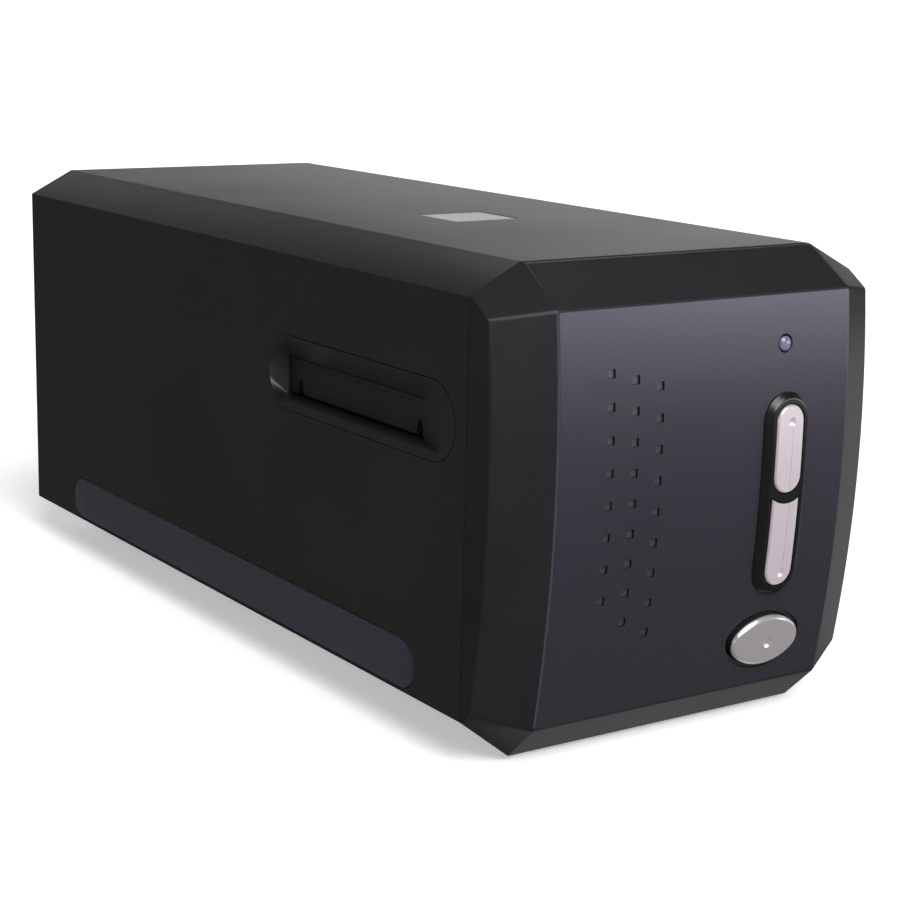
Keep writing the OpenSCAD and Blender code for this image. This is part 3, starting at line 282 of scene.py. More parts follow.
def finish(name, first, second, rough, kind="moulded", depth=0.012, metallic=0.0, shader=None, **sizes):
    """A material whose colour, roughness and surface follow a grain group. depth is in millimetres."""
    made = bpy.data.materials.get(name)
    if made:
        return made
    made = bpy.data.materials.new(name)
    made.use_nodes = True
    tree = made.node_tree
    bsdf = tree.nodes["Principled BSDF"]
    surface = tree.nodes.new("ShaderNodeGroup")
    surface.node_tree = grain_group(kind)
    for key, value in sizes.items():
        surface.inputs[key.capitalize()].default_value = value
    tone = add(tree, "ShaderNodeMapRange", {"Value": surface.outputs["Tone"]})
    tone.inputs["From Min"].default_value = 0.3
    tone.inputs["From Max"].default_value = 0.7
    mix = add(tree, "ShaderNodeMix", data_type="RGBA")
    tree.links.new(tone.outputs[0], mix.inputs["Factor"])
    mix.inputs[6].default_value = (*first, 1)
    mix.inputs[7].default_value = (*second, 1)
    tree.links.new(mix.outputs[2], bsdf.inputs["Base Color"])
    spread = add(tree, "ShaderNodeMapRange", {"Value": surface.outputs["Tone"]})
    spread.inputs["To Min"].default_value = rough[0]
    spread.inputs["To Max"].default_value = rough[1]
    tree.links.new(spread.outputs[0], bsdf.inputs["Roughness"])
    bump = add(tree, "ShaderNodeBump", {"Height": surface.outputs["Height"]})
    bump.inputs["Strength"].default_value = 1.0
    bump.inputs["Distance"].default_value = depth * MM
    tree.links.new(bump.outputs["Normal"], bsdf.inputs["Normal"])
    bsdf.inputs["Metallic"].default_value = metallic
    for key, value in (shader or {}).items():
        bsdf.inputs[key].default_value = value
    return made


def glass(name, tint, rough, ior=1.5, glow=0.0, clear=0.75):
    """Clear or tinted plastic or glass, with faint clouding inside."""
    made = bpy.data.materials.get(name)
    if made:
        return made
    clouded = tuple(min(1, part) for part in toned(tint, 1.15))
    made = finish(name, tint, clouded, rough, "flecked", 0.002,
                  shader={"Transmission Weight": clear, "IOR": ior}, fleck=3000.0, peel=900.0)
    if glow:
        bsdf = made.node_tree.nodes["Principled BSDF"]
        bsdf.inputs["Emission Color"].default_value = (*tint, 1)
        bsdf.inputs["Emission Strength"].default_value = glow
    return made


def paint(obj, *materials):
    """Gives an object its materials, in the order of its faces' indices."""
    obj.data.materials.clear()
    for material in materials:
        obj.data.materials.append(material)


# ---------- shaping ----------


def front_normal(normal, place):
    """The true normal at a place on the turned front, for a facet that lies on it."""
    out = Vector((0, place.y - FRONT_AXIS.y, place.z - FRONT_AXIS.z)).normalized()
    across = Vector((0, normal.y, normal.z))
    if across.length < 0.1 or across.normalized().dot(out) < math.cos(math.radians(3)):
        return normal
    return Vector((normal.x, 0, 0)) + out * across.length


def smooth_corners(data, sharp, true_normal):
    """Smooth corners, weighted by area so that broad faces stay flat beside their rounded edges."""
    limit = math.cos(math.radians(sharp))
    around = [[] for _ in data.vertices]
    for face in data.polygons:
        face.use_smooth = True
        for corner in face.vertices:
            around[corner].append((face.normal.copy(), face.area))
    normals = [Vector()] * len(data.loops)
    for face in data.polygons:
        for loop, corner in zip(face.loop_indices, face.vertices):
            total = Vector()
            place = data.vertices[corner].co
            for normal, area in around[corner]:
                if normal.dot(face.normal) >= limit:
                    total += (true_normal(normal, place) if true_normal else normal) * area
            normals[loop] = total.normalized() if total.length else face.normal.copy()
    data.normals_split_custom_set(normals)


def clean_copy(node):
    """A node's mesh with its triangles joined into flat faces."""
    mesh = bmesh.new()
    mesh.from_mesh(NODES[node].data)
    bmesh.ops.remove_doubles(mesh, verts=mesh.verts, dist=SAME_PLACE)
    bmesh.ops.dissolve_degenerate(mesh, edges=mesh.edges, dist=SAME_PLACE)
    bmesh.ops.dissolve_limit(mesh, angle_limit=math.radians(0.4), use_dissolve_boundaries=False,
                             verts=mesh.verts, edges=mesh.edges)
    mesh.normal_update()
    return mesh


def new_piece(name, mesh, body, replaced=(), sharp=32, true_normal=None):
    """An object that rides a body, or none where it bends between two, and stands for the nodes replaced."""
    data = bpy.data.meshes.new(name)
    mesh.to_mesh(data)
    mesh.free()
    smooth_corners(data, sharp, true_normal)
    obj = bpy.data.objects.new(name, data)
    bpy.context.scene.collection.objects.link(obj)
    if body:
        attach(obj, body)
    if replaced:
        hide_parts(*replaced)
    return obj


SURROUNDINGS = []


def surroundings():
    """A search tree over every solid, to tell what can be seen from outside."""
    if not SURROUNDINGS:
        points, faces = [], []
        for obj in NODES.values():
            base = len(points)
            points += [v.co.copy() for v in obj.data.vertices]
            faces += [[base + i for i in face.vertices] for face in obj.data.polygons]
        SURROUNDINGS.append(BVHTree.FromPolygons(points, faces))
    return SURROUNDINGS[0]


def seen(face):
    """Whether nothing stands in front of a face."""
    start = face.calc_center_median() + face.normal * 3e-5
    return surroundings().ray_cast(start, face.normal)[0] is None


def round_edges(mesh, form, rim, form_angle=14, everywhere=False):
    """Rounds the edges that show: wide where two outer faces meet, fine at rims and seams."""
    rim_angle = 30
    shown = {face for face in mesh.faces if everywhere or seen(face)}
    broad, narrow = [], []
    for edge in mesh.edges:
        if len(edge.link_faces) != 2:
            continue
        angle = math.degrees(edge.calc_face_angle(0))
        count = sum(face in shown for face in edge.link_faces)
        if count == 2 and form_angle < angle and edge.calc_length() > 4 * form:
            broad.append(edge)
        elif count and angle > rim_angle:
            narrow.append(edge)
    for edges, offset, segments in ((narrow, rim, 2), (broad, form, 3)):
        edges = [edge for edge in edges if edge.is_valid]
        if edges and offset:
            bmesh.ops.bevel(mesh, geom=edges, offset=offset, offset_type="OFFSET", segments=segments,
                            profile=0.5, affect="EDGES", clamp_overlap=True, material=-1)
    mesh.normal_update()


def rounded(node, name, form, rim, sharp=32, true_normal=None, **options):
    """A copy of a node with softened edges, which stands for it."""
    mesh = clean_copy(node)
    round_edges(mesh, form, rim, **options)
    return new_piece(name, mesh, body_of(node), (node,), sharp, true_normal)


def body_of(node):
    """The body that a node is on."""
    return NODES[node]["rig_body"]


def slot_of(node):
    """The material slot that the record gives a node."""
    for part in frame["record"]["subparts"]:
        if part["node"] == node:
            return part["material_slot"]
    raise KeyError(node)


def close_turns(mesh):
    """Joins what the turns and pushes of a wire left double, and turns its faces outwards."""
    bmesh.ops.remove_doubles(mesh, verts=mesh.verts, dist=SAME_POINT)
    bmesh.ops.recalc_face_normals(mesh, faces=mesh.faces)


def turn_on(mesh, tip, centre, axis, angle, steps, rise=0.0):
    """Carries the tip of a tube or ribbon round a centre, and gives its new tip."""
    grown = bmesh.ops.spin(mesh, geom=tip, cent=centre, axis=axis, dvec=(0, 0, rise / steps), angle=angle,
                           steps=steps, use_merge=False, use_duplicate=False)
    return [part for part in grown["geom_last"] if isinstance(part, bmesh.types.BMFace)]


def push_on(mesh, tip, way):
    """Carries the tip of a tube or ribbon straight on, and gives its new tip."""
    grown = bmesh.ops.extrude_face_region(mesh, geom=tip)["geom"]
    corners = [part for part in grown if isinstance(part, bmesh.types.BMVert)]
    bmesh.ops.translate(mesh, vec=way, verts=corners)
    return [part for part in grown if isinstance(part, bmesh.types.BMFace)]


def wire_end(mesh, radius, wire, height):
    """A disc of the wire's thickness, where a coil about +Z starts."""
    place = Matrix.Translation((radius, 0, height)) @ Matrix.Rotation(math.pi / 2, 4, "X")
    bmesh.ops.create_circle(mesh, cap_ends=True, segments=WIRE_SIDES, radius=wire / 2, matrix=place)
    return mesh.faces[:]


def coil_on(mesh, tip, turns, rise):
    """Winds the tip of a wire about +Z, and gives its new tip."""
    return turn_on(mesh, tip, (0, 0, 0), (0, 0, 1), math.tau * turns, round(STEPS_PER_TURN * turns), rise)


def torsion_coil(radius, wire, turns, length, leg):
    """A close coil with two straight legs, along +Z."""
    mesh = bmesh.new()
    tip = wire_end(mesh, radius, wire, 0)
    bmesh.ops.translate(mesh, vec=(0, -leg, 0), verts=mesh.verts)
    tip = push_on(mesh, tip, (0, leg, 0))
    tip = coil_on(mesh, tip, turns, length)
    push_on(mesh, tip, (0, leg, 0))
    return mesh


def pressed_coil(radius, wire, turns, length):
    """An open coil with a closed turn at each end, along +Z."""
    mesh = bmesh.new()
    tip = wire_end(mesh, radius, wire, 0)
    closed = 0.8
    for share, rise in ((closed, wire), (turns - 2 * closed, length - 2 * wire), (closed, wire)):
        tip = coil_on(mesh, tip, share, rise)
    return mesh


def pulled_coil(radius, wire, turns, length):
    """A close coil between two hooks, along +Z."""
    mesh = bmesh.new()
    curve = 1.2 * wire
    reach = curve + radius
    hook_angle = math.pi * 0.9
    tip = coil_on(mesh, wire_end(mesh, radius, wire, reach), turns, length - 2 * reach)
    top = length - reach
    tip = turn_on(mesh, tip, (radius, 0, top + curve), (1, 0, 0), math.pi / 2, 6)
    turn_on(mesh, tip, (0, curve, top + curve), (0, 1, 0), -hook_angle, 14)
    low = bmesh.new()
    tip = wire_end(low, radius, wire, reach)
    tip = turn_on(low, tip, (radius, 0, reach - curve), (1, 0, 0), math.pi / 2, 6)
    turn_on(low, tip, (0, -curve, reach - curve), (0, 1, 0), hook_angle, 14)
    hook = bpy.data.meshes.new("hook")
    low.to_mesh(hook)
    low.free()
    mesh.from_mesh(hook)
    bpy.data.meshes.remove(hook)
    return mesh


def ribbed_ribbon(box, wide, thick, cores, curve, end):
    """A ribbon cable that runs back, down and forward again to y = end, with one rib for each core."""
    low, high = box
    mesh = bmesh.new()
    bmesh.ops.create_grid(mesh, x_segments=4 * cores, y_segments=1, size=0.5)
    for corner in mesh.verts:
        dip = 0.5 - 0.5 * math.cos(math.tau * corner.co.x * cores)
        corner.co.z = math.copysign(thick * (0.5 - 0.2 * (1 - dip)), corner.co.y)
        corner.co.x *= wide
        corner.co.y = 0
    bmesh.ops.translate(mesh, vec=(0, low.y, high.z - thick / 2), verts=mesh.verts)
    middle = high.y - curve
    tip = push_on(mesh, mesh.faces[:], (0, middle - low.y, 0))
    tip = turn_on(mesh, tip, (0, middle, high.z - curve), (1, 0, 0), -math.pi / 2, 10)
    tip = push_on(mesh, tip, (0, 0, 2 * curve - high.z + low.z))
    tip = turn_on(mesh, tip, (0, middle, low.z + curve), (1, 0, 0), -math.pi / 2, 10)
    push_on(mesh, tip, (0, end - middle, 0))
    return mesh


def above_front(polygon):
    """How far a face lies in front of the turned front, and how much it faces forward."""
    out = polygon.center - FRONT_AXIS
    out.x = 0
    return out.length - FRONT_RADIUS, polygon.normal.dot(out.normalized())


def parted(node, name, materials, choose):
    """A copy of a node whose faces take their material from where they lie, in millimetres."""
    piece = new_piece(name, clean_copy(node), body_of(node), (node,))
    paint(piece, *materials)
    for polygon in piece.data.polygons:
        polygon.material_index = choose(polygon.center / MM, polygon.normal)
    return piece


class Step:
    """Shared by the operators: make gets the scene's values, and an error in it stops the script."""

    bl_options = {"REGISTER", "UNDO"}

    def execute(self, context):
        self.make(context.scene.scanner_finish)
        return {"FINISHED"}


# ---------- the pieces ----------


class SCANNER_OT_shells(Step, bpy.types.Operator):
    """Housing, base and rear panel with softened edges and moulded texture"""

    bl_idname = "scanner.shells"
    bl_label = "Shells"

    def make(self, v):
        plastic = finish("housing plastic", v.housing_colour, v.housing_tint, (0.42, 0.56), depth=0.018,
                         grain=2400.0, cloud=18.0)
        dark = finish("base plastic", (0.009, 0.0092, 0.0095), (0.012, 0.0122, 0.0126), (0.5, 0.62),
                      depth=0.018, grain=2200.0, cloud=20.0)
        rear = finish("rear plastic", (0.0095, 0.0098, 0.0105), (0.0125, 0.0128, 0.0135), (0.48, 0.6),
                      depth=0.018, grain=2000.0, cloud=16.0)
        for node, material in (("housing", plastic), ("base", dark), ("rear_panel", rear)):
            paint(rounded(node, node + "_shell", v.form_round, v.rim_round), material)


class SCANNER_OT_bezel(Step, bpy.types.Operator):
    """Curved front with its lacquered face and textured bevels"""

    bl_idname = "scanner.bezel"
    bl_label = "Front bezel"

    def make(self, v):
        piece = rounded("front_bezel", "bezel_shell", v.form_round, v.rim_round, true_normal=front_normal)
        face = finish("front lacquer", v.panel_colour, v.panel_tint, (0.3, 0.4), "flecked", 0.004,
                      shader={"Specular Tint": (0.82, 0.74, 1, 1)}, fleck=5200.0, peel=1500.0)
        bevels = finish("bevel plastic", v.bevel_colour, toned(v.bevel_colour, 1.6), (0.38, 0.52),
                        depth=0.03, shader={"Specular IOR Level": 0.3}, grain=1700.0, cloud=30.0)
        # Painted light: the floors of the recessed squares take the face lacquer made 1.9 times lighter,
        # against the shade that falls in them
        painted_light_squares = finish("painted light on the floors of the squares", toned(v.panel_colour, 1.9), toned(v.panel_tint, 1.9),
                      (0.3, 0.4), "flecked", 0.004, fleck=5200.0, peel=1500.0)
        # Painted shade: near black on the walls inside the face, for the shade that falls in its recesses
        painted_shade = finish("painted shade on the walls in the front", (0.0025, 0.0025, 0.003), (0.004, 0.004, 0.0045), (0.5, 0.6),
                      depth=0.004)
        paint(piece, bevels, face, painted_light_squares, painted_shade)
        for polygon in piece.data.polygons:
            polygon.material_index = self.part(polygon)

    def part(self, polygon):
        """0 for the bevels, 1 for the face, 2 for the floors of the squares, lightened as painted light, 3
        for walls inside the face, darkened as painted shade.
        """
        skin = 0.1 * MM
        sunk_floor = 0.9 * MM
        half_wide = 45 * MM
        lowest = 12 * MM
        highest = 110 * MM
        proud, facing = above_front(polygon)
        depth = -proud
        forward = facing > 0.955
        inner = abs(polygon.center.x) < half_wide and lowest < polygon.center.z < highest
        if forward and depth < skin:
            return 1
        # Floors of the recessed squares: painted light
        if inner and forward and depth < sunk_floor:
            return 2
        # Walls inside the face: painted shade
        if inner and abs(facing) < 0.5 and depth > skin / 2:
            return 3
        return int(inner and depth < skin)


class SCANNER_OT_controls(Step, bpy.types.Operator):
    """Collar, buttons and status lens"""

    bl_idname = "scanner.controls"
    bl_label = "Buttons and lamp"

    def make(self, v):
        gloss = finish("collar gloss", (0.0052, 0.0057, 0.0055), (0.0058, 0.0063, 0.006), (0.26, 0.32),
                       "flecked", 0.001, fleck=4000.0, peel=900.0, shader={"Specular IOR Level": 0.42})
        # Painted shade: near black for the gaps round the buttons, on the walls of the collar's holes and on
        # the buttons' own walls
        painted_shade = finish("painted shade in the gaps", (0.0012, 0.0013, 0.0012), (0.002, 0.0022, 0.002),
                      (0.6, 0.7), depth=0.004)
        collar = rounded("button_collar", "collar_ring", v.rim_round, v.rim_round)
        paint(collar, gloss, painted_shade)
        holes_middle = 23.9 * MM
        holes_reach = 6.2 * MM
        # The walls of the collar's holes take the painted shade
        for polygon in collar.data.polygons:
            facing = above_front(polygon)[1]
            in_a_hole = abs(polygon.center.x - holes_middle) < holes_reach
            polygon.material_index = int(in_a_hole and abs(facing) < 0.3)
        silver = finish("button lacquer", v.silver_colour, toned(v.silver_colour, 0.86), (0.26, 0.36),
                        "drawn", 0.003, metallic=0.5, across=5200.0, along=260.0, turn=0.0)
        wide = finish("power button lacquer", v.power_colour, toned(v.power_colour, 0.88), (0.18, 0.26),
                      "drawn", 0.002, metallic=0.7, across=5200.0, along=260.0, turn=math.pi / 2)
        # Faces of a button less than this proud of the front, and faces turned away from it, take the
        # painted shade of the gap
        painted_shade_reach = 0.6 * MM
        for node, edge, sharp, lacquer in (("scan_button_upper", v.button_round, 32, silver),
                                           ("scan_button_lower", v.button_round, 32, silver),
                                           ("power_button", v.power_round, 50, wide)):
            cap = rounded(node, node + "_cap", edge, edge, sharp=sharp, form_angle=40)
            paint(cap, lacquer, painted_shade)
            for polygon in cap.data.polygons:
                proud, facing = above_front(polygon)
                polygon.material_index = int(proud < painted_shade_reach or facing < 0.2)
        clear = glass("lens plastic", v.lens_colour, (0.04, 0.1), 1.49, clear=0.3)
        paint(rounded("status_lens", "lamp_lens", v.rim_round, 0), clear)


class SCANNER_OT_slots(Step, bpy.types.Operator):
    """Funnel frames of the film slot and their dust flaps"""

    bl_idname = "scanner.slots"
    bl_label = "Film slot"

    def make(self, v):
        funnel = finish("slot plastic", (0.0095, 0.0102, 0.009), (0.0125, 0.0132, 0.0118), (0.28, 0.36),
                        depth=0.006, grain=3200.0, cloud=40.0)
        door = finish("flap plastic", (0.0085, 0.009, 0.0088), (0.011, 0.0115, 0.0112), (0.34, 0.44),
                      depth=0.005, grain=3400.0, cloud=50.0)
        for side in ("left", "right"):
            for kind, rim, material in (("slot_frame_", v.slot_round, funnel),
                                        ("dust_flap_", v.rim_round, door)):
                paint(rounded(kind + side, kind + side + "_moulding", rim, rim), material)


class SCANNER_OT_trim(Step, bpy.types.Operator):
    """Side strips, unlacquered badge and feet"""

    bl_idname = "scanner.trim"
    bl_label = "Trim"

    def make(self, v):
        inlay_round = 0.12 * MM
        strip = finish("strip plastic", v.strip_colour, toned(v.strip_colour, 1.2), (0.3, 0.4), depth=0.005,
                       grain=3000.0, cloud=26.0)
        for node in ("side_strip_left", "side_strip_right"):
            paint(rounded(node, node + "_inlay", inlay_round, inlay_round), strip)
        badge = finish("badge plate", v.badge_colour, toned(v.badge_colour, 0.92), (0.22, 0.3), "drawn",
                       0.002, shader={"Specular IOR Level": 0.08}, across=4200.0, along=120.0,
                       turn=math.pi / 2)
        paint(rounded("top_badge", "top_plate", inlay_round, inlay_round), badge)
        rubber = finish("foot rubber", (0.012, 0.012, 0.012), (0.018, 0.018, 0.018), (0.7, 0.85), depth=0.03,
                        grain=1500.0, cloud=60.0)
        paint(rounded("feet", "rubber_feet", 0.5 * MM, 0.3 * MM), rubber)


class SCANNER_OT_inside(Step, bpy.types.Operator):
    """Finishes of the pieces inside, the switches' plungers and the screws"""

    bl_idname = "scanner.inside"
    bl_label = "Inside"

    def make(self, v):
        steel = dict(kind="drawn", metallic=1.0)
        finishes = {
            "guide": finish("guide plastic", (0.011, 0.011, 0.012), (0.015, 0.015, 0.016), (0.55, 0.7)),
            "pom": finish("plunger plastic", (0.62, 0.6, 0.55), (0.7, 0.68, 0.63), (0.35, 0.45),
                          depth=0.004),
            "sheet_steel": finish("plated steel", (0.42, 0.43, 0.44), (0.52, 0.53, 0.53), (0.32, 0.45),
                                  depth=0.004, across=1800.0, along=70.0, turn=math.pi / 2, **steel),
            "rod_steel": finish("ground rod", (0.62, 0.62, 0.63), (0.7, 0.7, 0.71), (0.12, 0.2), depth=0.001,
                                across=900.0, along=5000.0, turn=math.pi / 2, **steel),
            "carriage": finish("carriage plastic", (0.012, 0.0125, 0.014), (0.017, 0.0175, 0.019),
                               (0.45, 0.6)),
            "bronze": finish("sintered bronze", (0.36, 0.22, 0.1), (0.46, 0.3, 0.15), (0.45, 0.6),
                             depth=0.02, metallic=1.0),
            "lamp_body": finish("lamp housing", (0.72, 0.72, 0.69), (0.78, 0.78, 0.75), (0.45, 0.6),
                                depth=0.006),
            "lamp_glass": glass("lamp tube glass", (0.92, 0.94, 1.0), (0.15, 0.3), 1.5, 0.6),
            "mirror": finish("silvered glass", (0.82, 0.85, 0.86), (0.86, 0.88, 0.89), (0.02, 0.05),
                             "flecked", 0.0003, metallic=1.0, fleck=900.0, peel=300.0),
            "lens_black": finish("anodised black", (0.012, 0.012, 0.013), (0.018, 0.018, 0.02), (0.35, 0.5),
                                 "drawn", 0.003, metallic=0.6, across=900.0, along=3000.0, turn=math.pi / 2),
            "optic": glass("coated optic", (0.75, 0.84, 0.98), (0.02, 0.05), 1.6),
            "gear": finish("acetal", (0.66, 0.64, 0.57), (0.73, 0.71, 0.64), (0.3, 0.42), depth=0.004),
            "pinion": finish("turned brass", (0.62, 0.45, 0.17), (0.72, 0.54, 0.24), (0.2, 0.32),
                             depth=0.003, across=700.0, along=4200.0, **steel),
            "belt": finish("belt rubber", (0.008, 0.008, 0.008), (0.014, 0.014, 0.014), (0.6, 0.75),
                           "ribbed", 0.25, ribs=490.0, turn=math.pi / 2),
            "jack": finish("socket plastic", (0.01, 0.01, 0.011), (0.014, 0.014, 0.015), (0.3, 0.42),
                           depth=0.006),
            "sensor": finish("sensor plastic", (0.008, 0.008, 0.009), (0.012, 0.012, 0.013), (0.4, 0.55),
                             depth=0.006),
            "screw": finish("plated screw", (0.5, 0.5, 0.5), (0.62, 0.62, 0.61), (0.25, 0.4), depth=0.003,
                            across=3000.0, along=3000.0, **steel),
        }
        roundings = {"chassis": 0.2, "film_guide": 0.3, "carriage": 0.3, "lamp_holder": 0.3,
                     "idler_bracket": 0.15, "home_sensor": 0.2, "fold_mirror": 0.1, "detent_plunger": 0.1}
        for node, edge in roundings.items():
            piece = rounded(node, node + "_finished", edge * MM, edge * MM, everywhere=True)
            paint(piece, finishes[slot_of(node)])
        for node, obj in NODES.items():
            if not obj.hide_render and slot_of(node) in finishes:
                paint(obj, finishes[slot_of(node)])


class SCANNER_OT_springs(Step, bpy.types.Operator):
    """Springs of round wire and the ribbed ribbon cable"""

    bl_idname = "scanner.springs"
    bl_label = "Springs and ribbon"

    def make(self, v):
        wire = finish("spring wire", (0.5, 0.5, 0.51), (0.62, 0.62, 0.63), (0.25, 0.35), "drawn", 0.002,
                      metallic=1.0, across=4000.0, along=900.0)
        along_y = Matrix.Rotation(-math.pi / 2, 4, "X")
        # Each coil along +Z, with half of its wire's thickness in millimetres
        coils = (("flap_spring_left", torsion_coil(1.2 * MM, v.wire, 5, 2.6 * MM, 1.3 * MM), 0.14),
                 ("flap_spring_right", torsion_coil(1.2 * MM, v.wire, 5, 2.6 * MM, 1.3 * MM), 0.14),
                 ("detent_spring", pressed_coil(1.2 * MM, 0.36 * MM, 6, 3.5 * MM), 0.18),
                 ("tension_spring", pulled_coil(1.6 * MM, 0.44 * MM, 6, 6.9 * MM), 0.22))
        for node, mesh, half_wire in coils:
            low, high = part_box(node)
            middle = (low + high) / 2
            middle.y = low.y + half_wire * MM
            bmesh.ops.transform(mesh, verts=mesh.verts, matrix=Matrix.Translation(middle) @ along_y)
            close_turns(mesh)
            paint(new_piece(node + "_wire", mesh, body_of(node), (node,)), wire)
        low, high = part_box("detent_spring")
        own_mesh(bpy.data.objects["detent_spring_wire"])
        film = finish("ribbon film", (0.6, 0.59, 0.53), (0.5, 0.49, 0.45), (0.3, 0.42), "ribbed", 0.01,
                      ribs=1000.0)
        mesh = ribbed_ribbon(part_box("flat_cable"), 14 * MM, 0.3 * MM, 14, 6 * MM, 75.5 * MM)
        close_turns(mesh)
        cable = new_piece("ribbon_cable", mesh, None, ("flat_cable",))
        paint(cable, film)
        low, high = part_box("flat_cable")
        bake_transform(cable)


class SCANNER_OT_boards(Step, bpy.types.Operator):
    """Circuit boards, sockets and motor, each with finishes for the parts on it"""

    bl_idname = "scanner.boards"
    bl_label = "Boards and sockets"

    def make(self, v):
        mask = finish("solder mask", (0.012, 0.075, 0.03), (0.03, 0.14, 0.055), (0.22, 0.34), "board", 0.02,
                      tracks=330.0, wander=0.35)
        chip = finish("chip resin", (0.009, 0.009, 0.0095), (0.014, 0.014, 0.015), (0.5, 0.62), depth=0.01)
        nylon = finish("connector nylon", (0.66, 0.65, 0.6), (0.72, 0.71, 0.66), (0.35, 0.5), depth=0.006)
        can = finish("capacitor can", (0.55, 0.56, 0.57), (0.64, 0.65, 0.66), (0.22, 0.32), "drawn", 0.002,
                     metallic=1.0, across=2000.0, along=2000.0)
        sleeve = finish("capacitor sleeve", (0.012, 0.016, 0.04), (0.016, 0.021, 0.05), (0.3, 0.42),
                        depth=0.004)
        steel = finish("motor can", (0.45, 0.45, 0.46), (0.56, 0.56, 0.57), (0.28, 0.4), "drawn", 0.003,
                       metallic=1.0, across=900.0, along=2600.0)
        tin = finish("tinned shell", (0.56, 0.56, 0.56), (0.66, 0.66, 0.66), (0.18, 0.3), "drawn", 0.003,
                     metallic=1.0, across=2400.0, along=120.0, turn=math.pi / 2)
        black = finish("socket plastic", (0.01, 0.01, 0.011), (0.014, 0.014, 0.015), (0.3, 0.42),
                       depth=0.006)
        window = finish("sensor window", (0.03, 0.035, 0.05), (0.04, 0.045, 0.06), (0.04, 0.08), "flecked",
                        0.001, fleck=1200.0, peel=300.0)

        def on_main_board(place, way):
            board_top = 9.65
            capacitors_right_of, capacitors_behind = 16.5, 98
            connectors_before = 42
            if place.z < board_top:
                return 0
            if place.x > capacitors_right_of and place.y > capacitors_behind:
                return 3 if way.z > 0.9 else 4
            return 2 if place.y < connectors_before else 1

        def on_sensor_board(place, way):
            window_back, chip_back, connector_front = 61.1, 63.9, 65.7
            if place.y < window_back:
                return 3
            if place.y < chip_back:
                return 1
            return 2 if place.y > connector_front else 0

        def on_switch_board(place, way):
            board_front, connector_foot = -113.3, 96
            if place.y > board_front:
                return 0
            return 2 if place.z > connector_foot else 1

        def on_motor(place, way):
            can_back = 88.3
            return int(place.y > can_back)

        def on_usb_socket(place, way):
            middle, half_wide, low, high, front = -13, 2.9, 13.4, 16.8, 123
            tongue = abs(place.x - middle) < half_wide and low < place.z < high and place.y > front
            return int(tongue and way.y > -0.5)

        def on_dc_jack(place, way):
            pin_x, pin_z, pin_reach, pin_front = 13, 15.1, 1.1, 124.1
            return int(math.hypot(place.x - pin_x, place.z - pin_z) < pin_reach and place.y > pin_front)

        parted("main_board", "main_board_dressed", (mask, chip, nylon, can, sleeve), on_main_board)
        parted("sensor_board", "sensor_board_dressed", (mask, chip, nylon, window), on_sensor_board)
        parted("switch_board", "switch_board_dressed", (mask, chip, nylon), on_switch_board)
        parted("stepper_motor", "motor_dressed", (steel, nylon), on_motor)
        parted("usb_socket", "usb_socket_dressed", (tin, nylon), on_usb_socket)
        parted("dc_jack", "dc_jack_dressed", (black, tin), on_dc_jack)


# ---------- the studio ----------


# Lit cards that show only in what the surfaces mirror: name, place, size, watts and what each is aimed at
CARDS = (
    ("front_card", (1.07, -1.035, 0.28), (1.3, 0.5), 10.5, (0, 0, 0.05)),
    ("high_card", (0.75, 0.76, 0.9), (0.45, 0.25), 1.4, (0, 0, 0.05)),
    ("low_card", (0.1, 0.0, -0.1), (0.2, 0.3), 0.105, (0.04, -0.12, 0.01)),
    ("left_card", (-0.85, -0.56, 0.12), (0.25, 0.25), 0.5, (0, 0, 0.05)),
    ("right_card", (0.17, 0.01, 0.022), (0.35, 0.125), 0.08, (0, 0.01, 0.022)),
    ("rear_card", (0.85, 1.45, 0.22), (2.2, 0.7), 7.3, (0, 0, 0.05)),
)
SUN_WAY = (0.1, 0.7, -0.7)
SUN_STRENGTH = 3.3
SUN_ANGLE = math.radians(40)
CAMERA_PLACE = (-0.31406, -0.49052, 0.17904)
CAMERA_TURN = tuple(math.radians(angle) for angle in (77.36714, -1.21759, -33.70545))
CAMERA_LENS = 81.567


def along(way):
    """The turn that points a light's or camera's own -Z along a direction."""
    return Vector(way).to_track_quat("-Z", "Y").to_euler()


def placed(name, data, place, turn):
    """A light or camera in the scene."""
    obj = bpy.data.objects.new(name, data)
    obj.location = place
    obj.rotation_euler = turn
    bpy.context.scene.collection.objects.link(obj)
    return obj


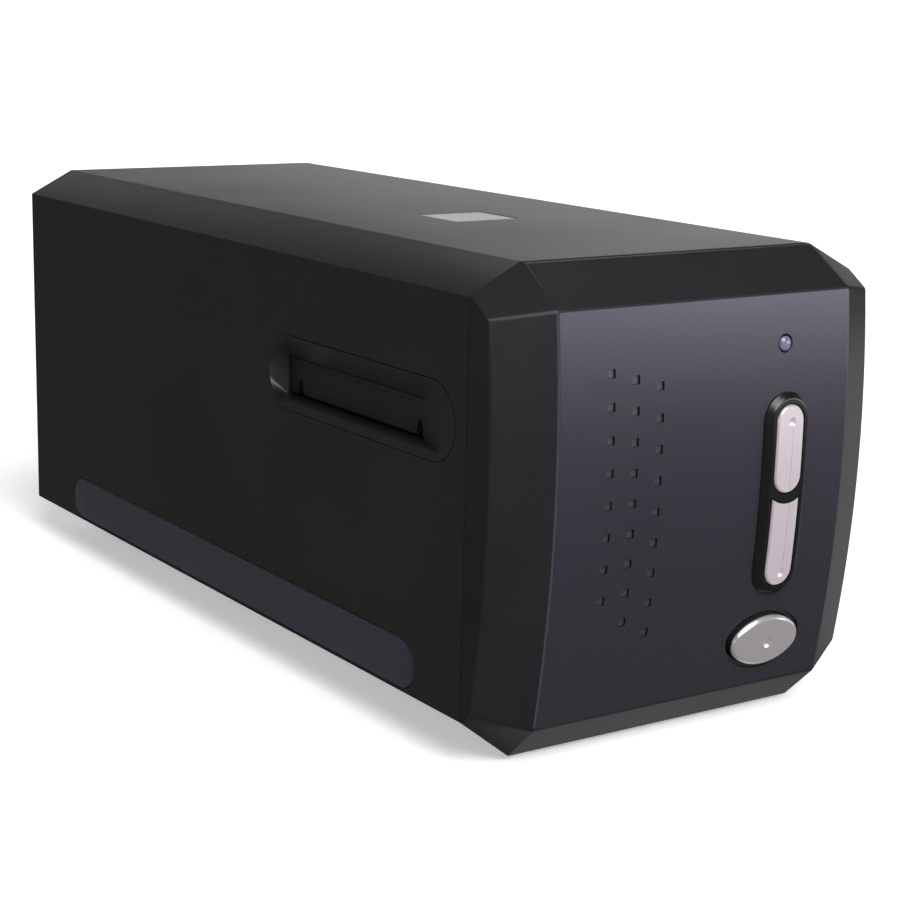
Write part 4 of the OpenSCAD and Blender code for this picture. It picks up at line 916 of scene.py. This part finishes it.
class SCANNER_OT_studio(Step, bpy.types.Operator):
    """Pale floor, soft light and the camera"""

    bl_idname = "scanner.studio"
    bl_label = "Studio"

    def make(self, v):
        self.floor(v)
        sun = bpy.data.lights.new("key", "SUN")
        sun.energy = SUN_STRENGTH
        sun.angle = SUN_ANGLE
        placed("key", sun, (0, 0, 0), along(SUN_WAY))
        for card in CARDS:
            self.card(*card)
        self.world()
        self.camera()

    def floor(self, v):
        """A flat floor that curves up far away, so that it fills the picture behind the part."""
        mesh = bmesh.new()
        bmesh.ops.create_grid(mesh, x_segments=48, y_segments=48, size=9)
        flat_reach = 4
        for corner in mesh.verts:
            corner.co.z = 0.12 * max(0, corner.co.length - flat_reach) ** 2
        data = bpy.data.meshes.new("floor")
        mesh.to_mesh(data)
        mesh.free()
        floor = bpy.data.objects.new("floor", data)
        bpy.context.scene.collection.objects.link(floor)
        for face in data.polygons:
            face.use_smooth = True
        glow = {"Specular IOR Level": 0.0, "Emission Color": (1, 1, 1, 1), "Emission Strength": 0.4}
        pale = finish("studio floor", v.floor_colour, toned(v.floor_colour, 0.96), (0.85, 0.9), depth=0.0,
                      shader=glow, cloud=2.0)
        paint(floor, pale)
        floor.visible_glossy = False

    def card(self, name, place, size, watts, aim):
        """One of the lit cards."""
        data = bpy.data.lights.new(name, "AREA")
        data.shape = "RECTANGLE"
        data.size, data.size_y = size
        data.energy = watts
        obj = placed(name, data, place, along(Vector(aim) - Vector(place)))
        obj.visible_camera = False
        obj.visible_diffuse = False

    def world(self):
        """Faint even light from all round."""
        world = bpy.data.worlds.new("studio")
        world.use_nodes = True
        background = world.node_tree.nodes["Background"]
        background.inputs["Color"].default_value = (1, 1, 1, 1)
        background.inputs["Strength"].default_value = 0.08
        bpy.context.scene.world = world

    def camera(self):
        """The photograph's view."""
        data = bpy.data.cameras.new("camera")
        data.sensor_width = 36
        data.lens = CAMERA_LENS
        data.clip_end = 50
        bpy.context.scene.camera = placed("camera", data, CAMERA_PLACE, CAMERA_TURN)
        bpy.context.scene.view_settings.view_transform = "Standard"


STEPS = (SCANNER_OT_studio, SCANNER_OT_shells, SCANNER_OT_bezel, SCANNER_OT_controls, SCANNER_OT_slots,
         SCANNER_OT_trim, SCANNER_OT_springs, SCANNER_OT_boards, SCANNER_OT_inside)


class SCANNER_PT_panel(bpy.types.Panel):
    """Lists the steps and the values that they use"""

    bl_idname = "SCANNER_PT_panel"
    bl_label = "Film Scanner"
    bl_space_type = "VIEW_3D"
    bl_region_type = "UI"
    bl_category = "Film Scanner"

    def draw(self, context):
        for step in STEPS:
            self.layout.operator(step.bl_idname)
        values = context.scene.scanner_finish
        for name in values.bl_rna.properties.keys():
            if name not in ("rna_type", "name"):
                self.layout.prop(values, name)


CLASSES = (ScannerFinish, *STEPS, SCANNER_PT_panel)


def register():
    for cls in CLASSES:
        bpy.utils.register_class(cls)
    bpy.types.Scene.scanner_finish = PointerProperty(type=ScannerFinish)


def unregister():
    del bpy.types.Scene.scanner_finish
    for cls in reversed(CLASSES):
        bpy.utils.unregister_class(cls)


def main():
    register()
    for step in STEPS:
        group, name = step.bl_idname.split(".")
        getattr(getattr(bpy.ops, group), name)()


if __name__ == "__main__":
    main()
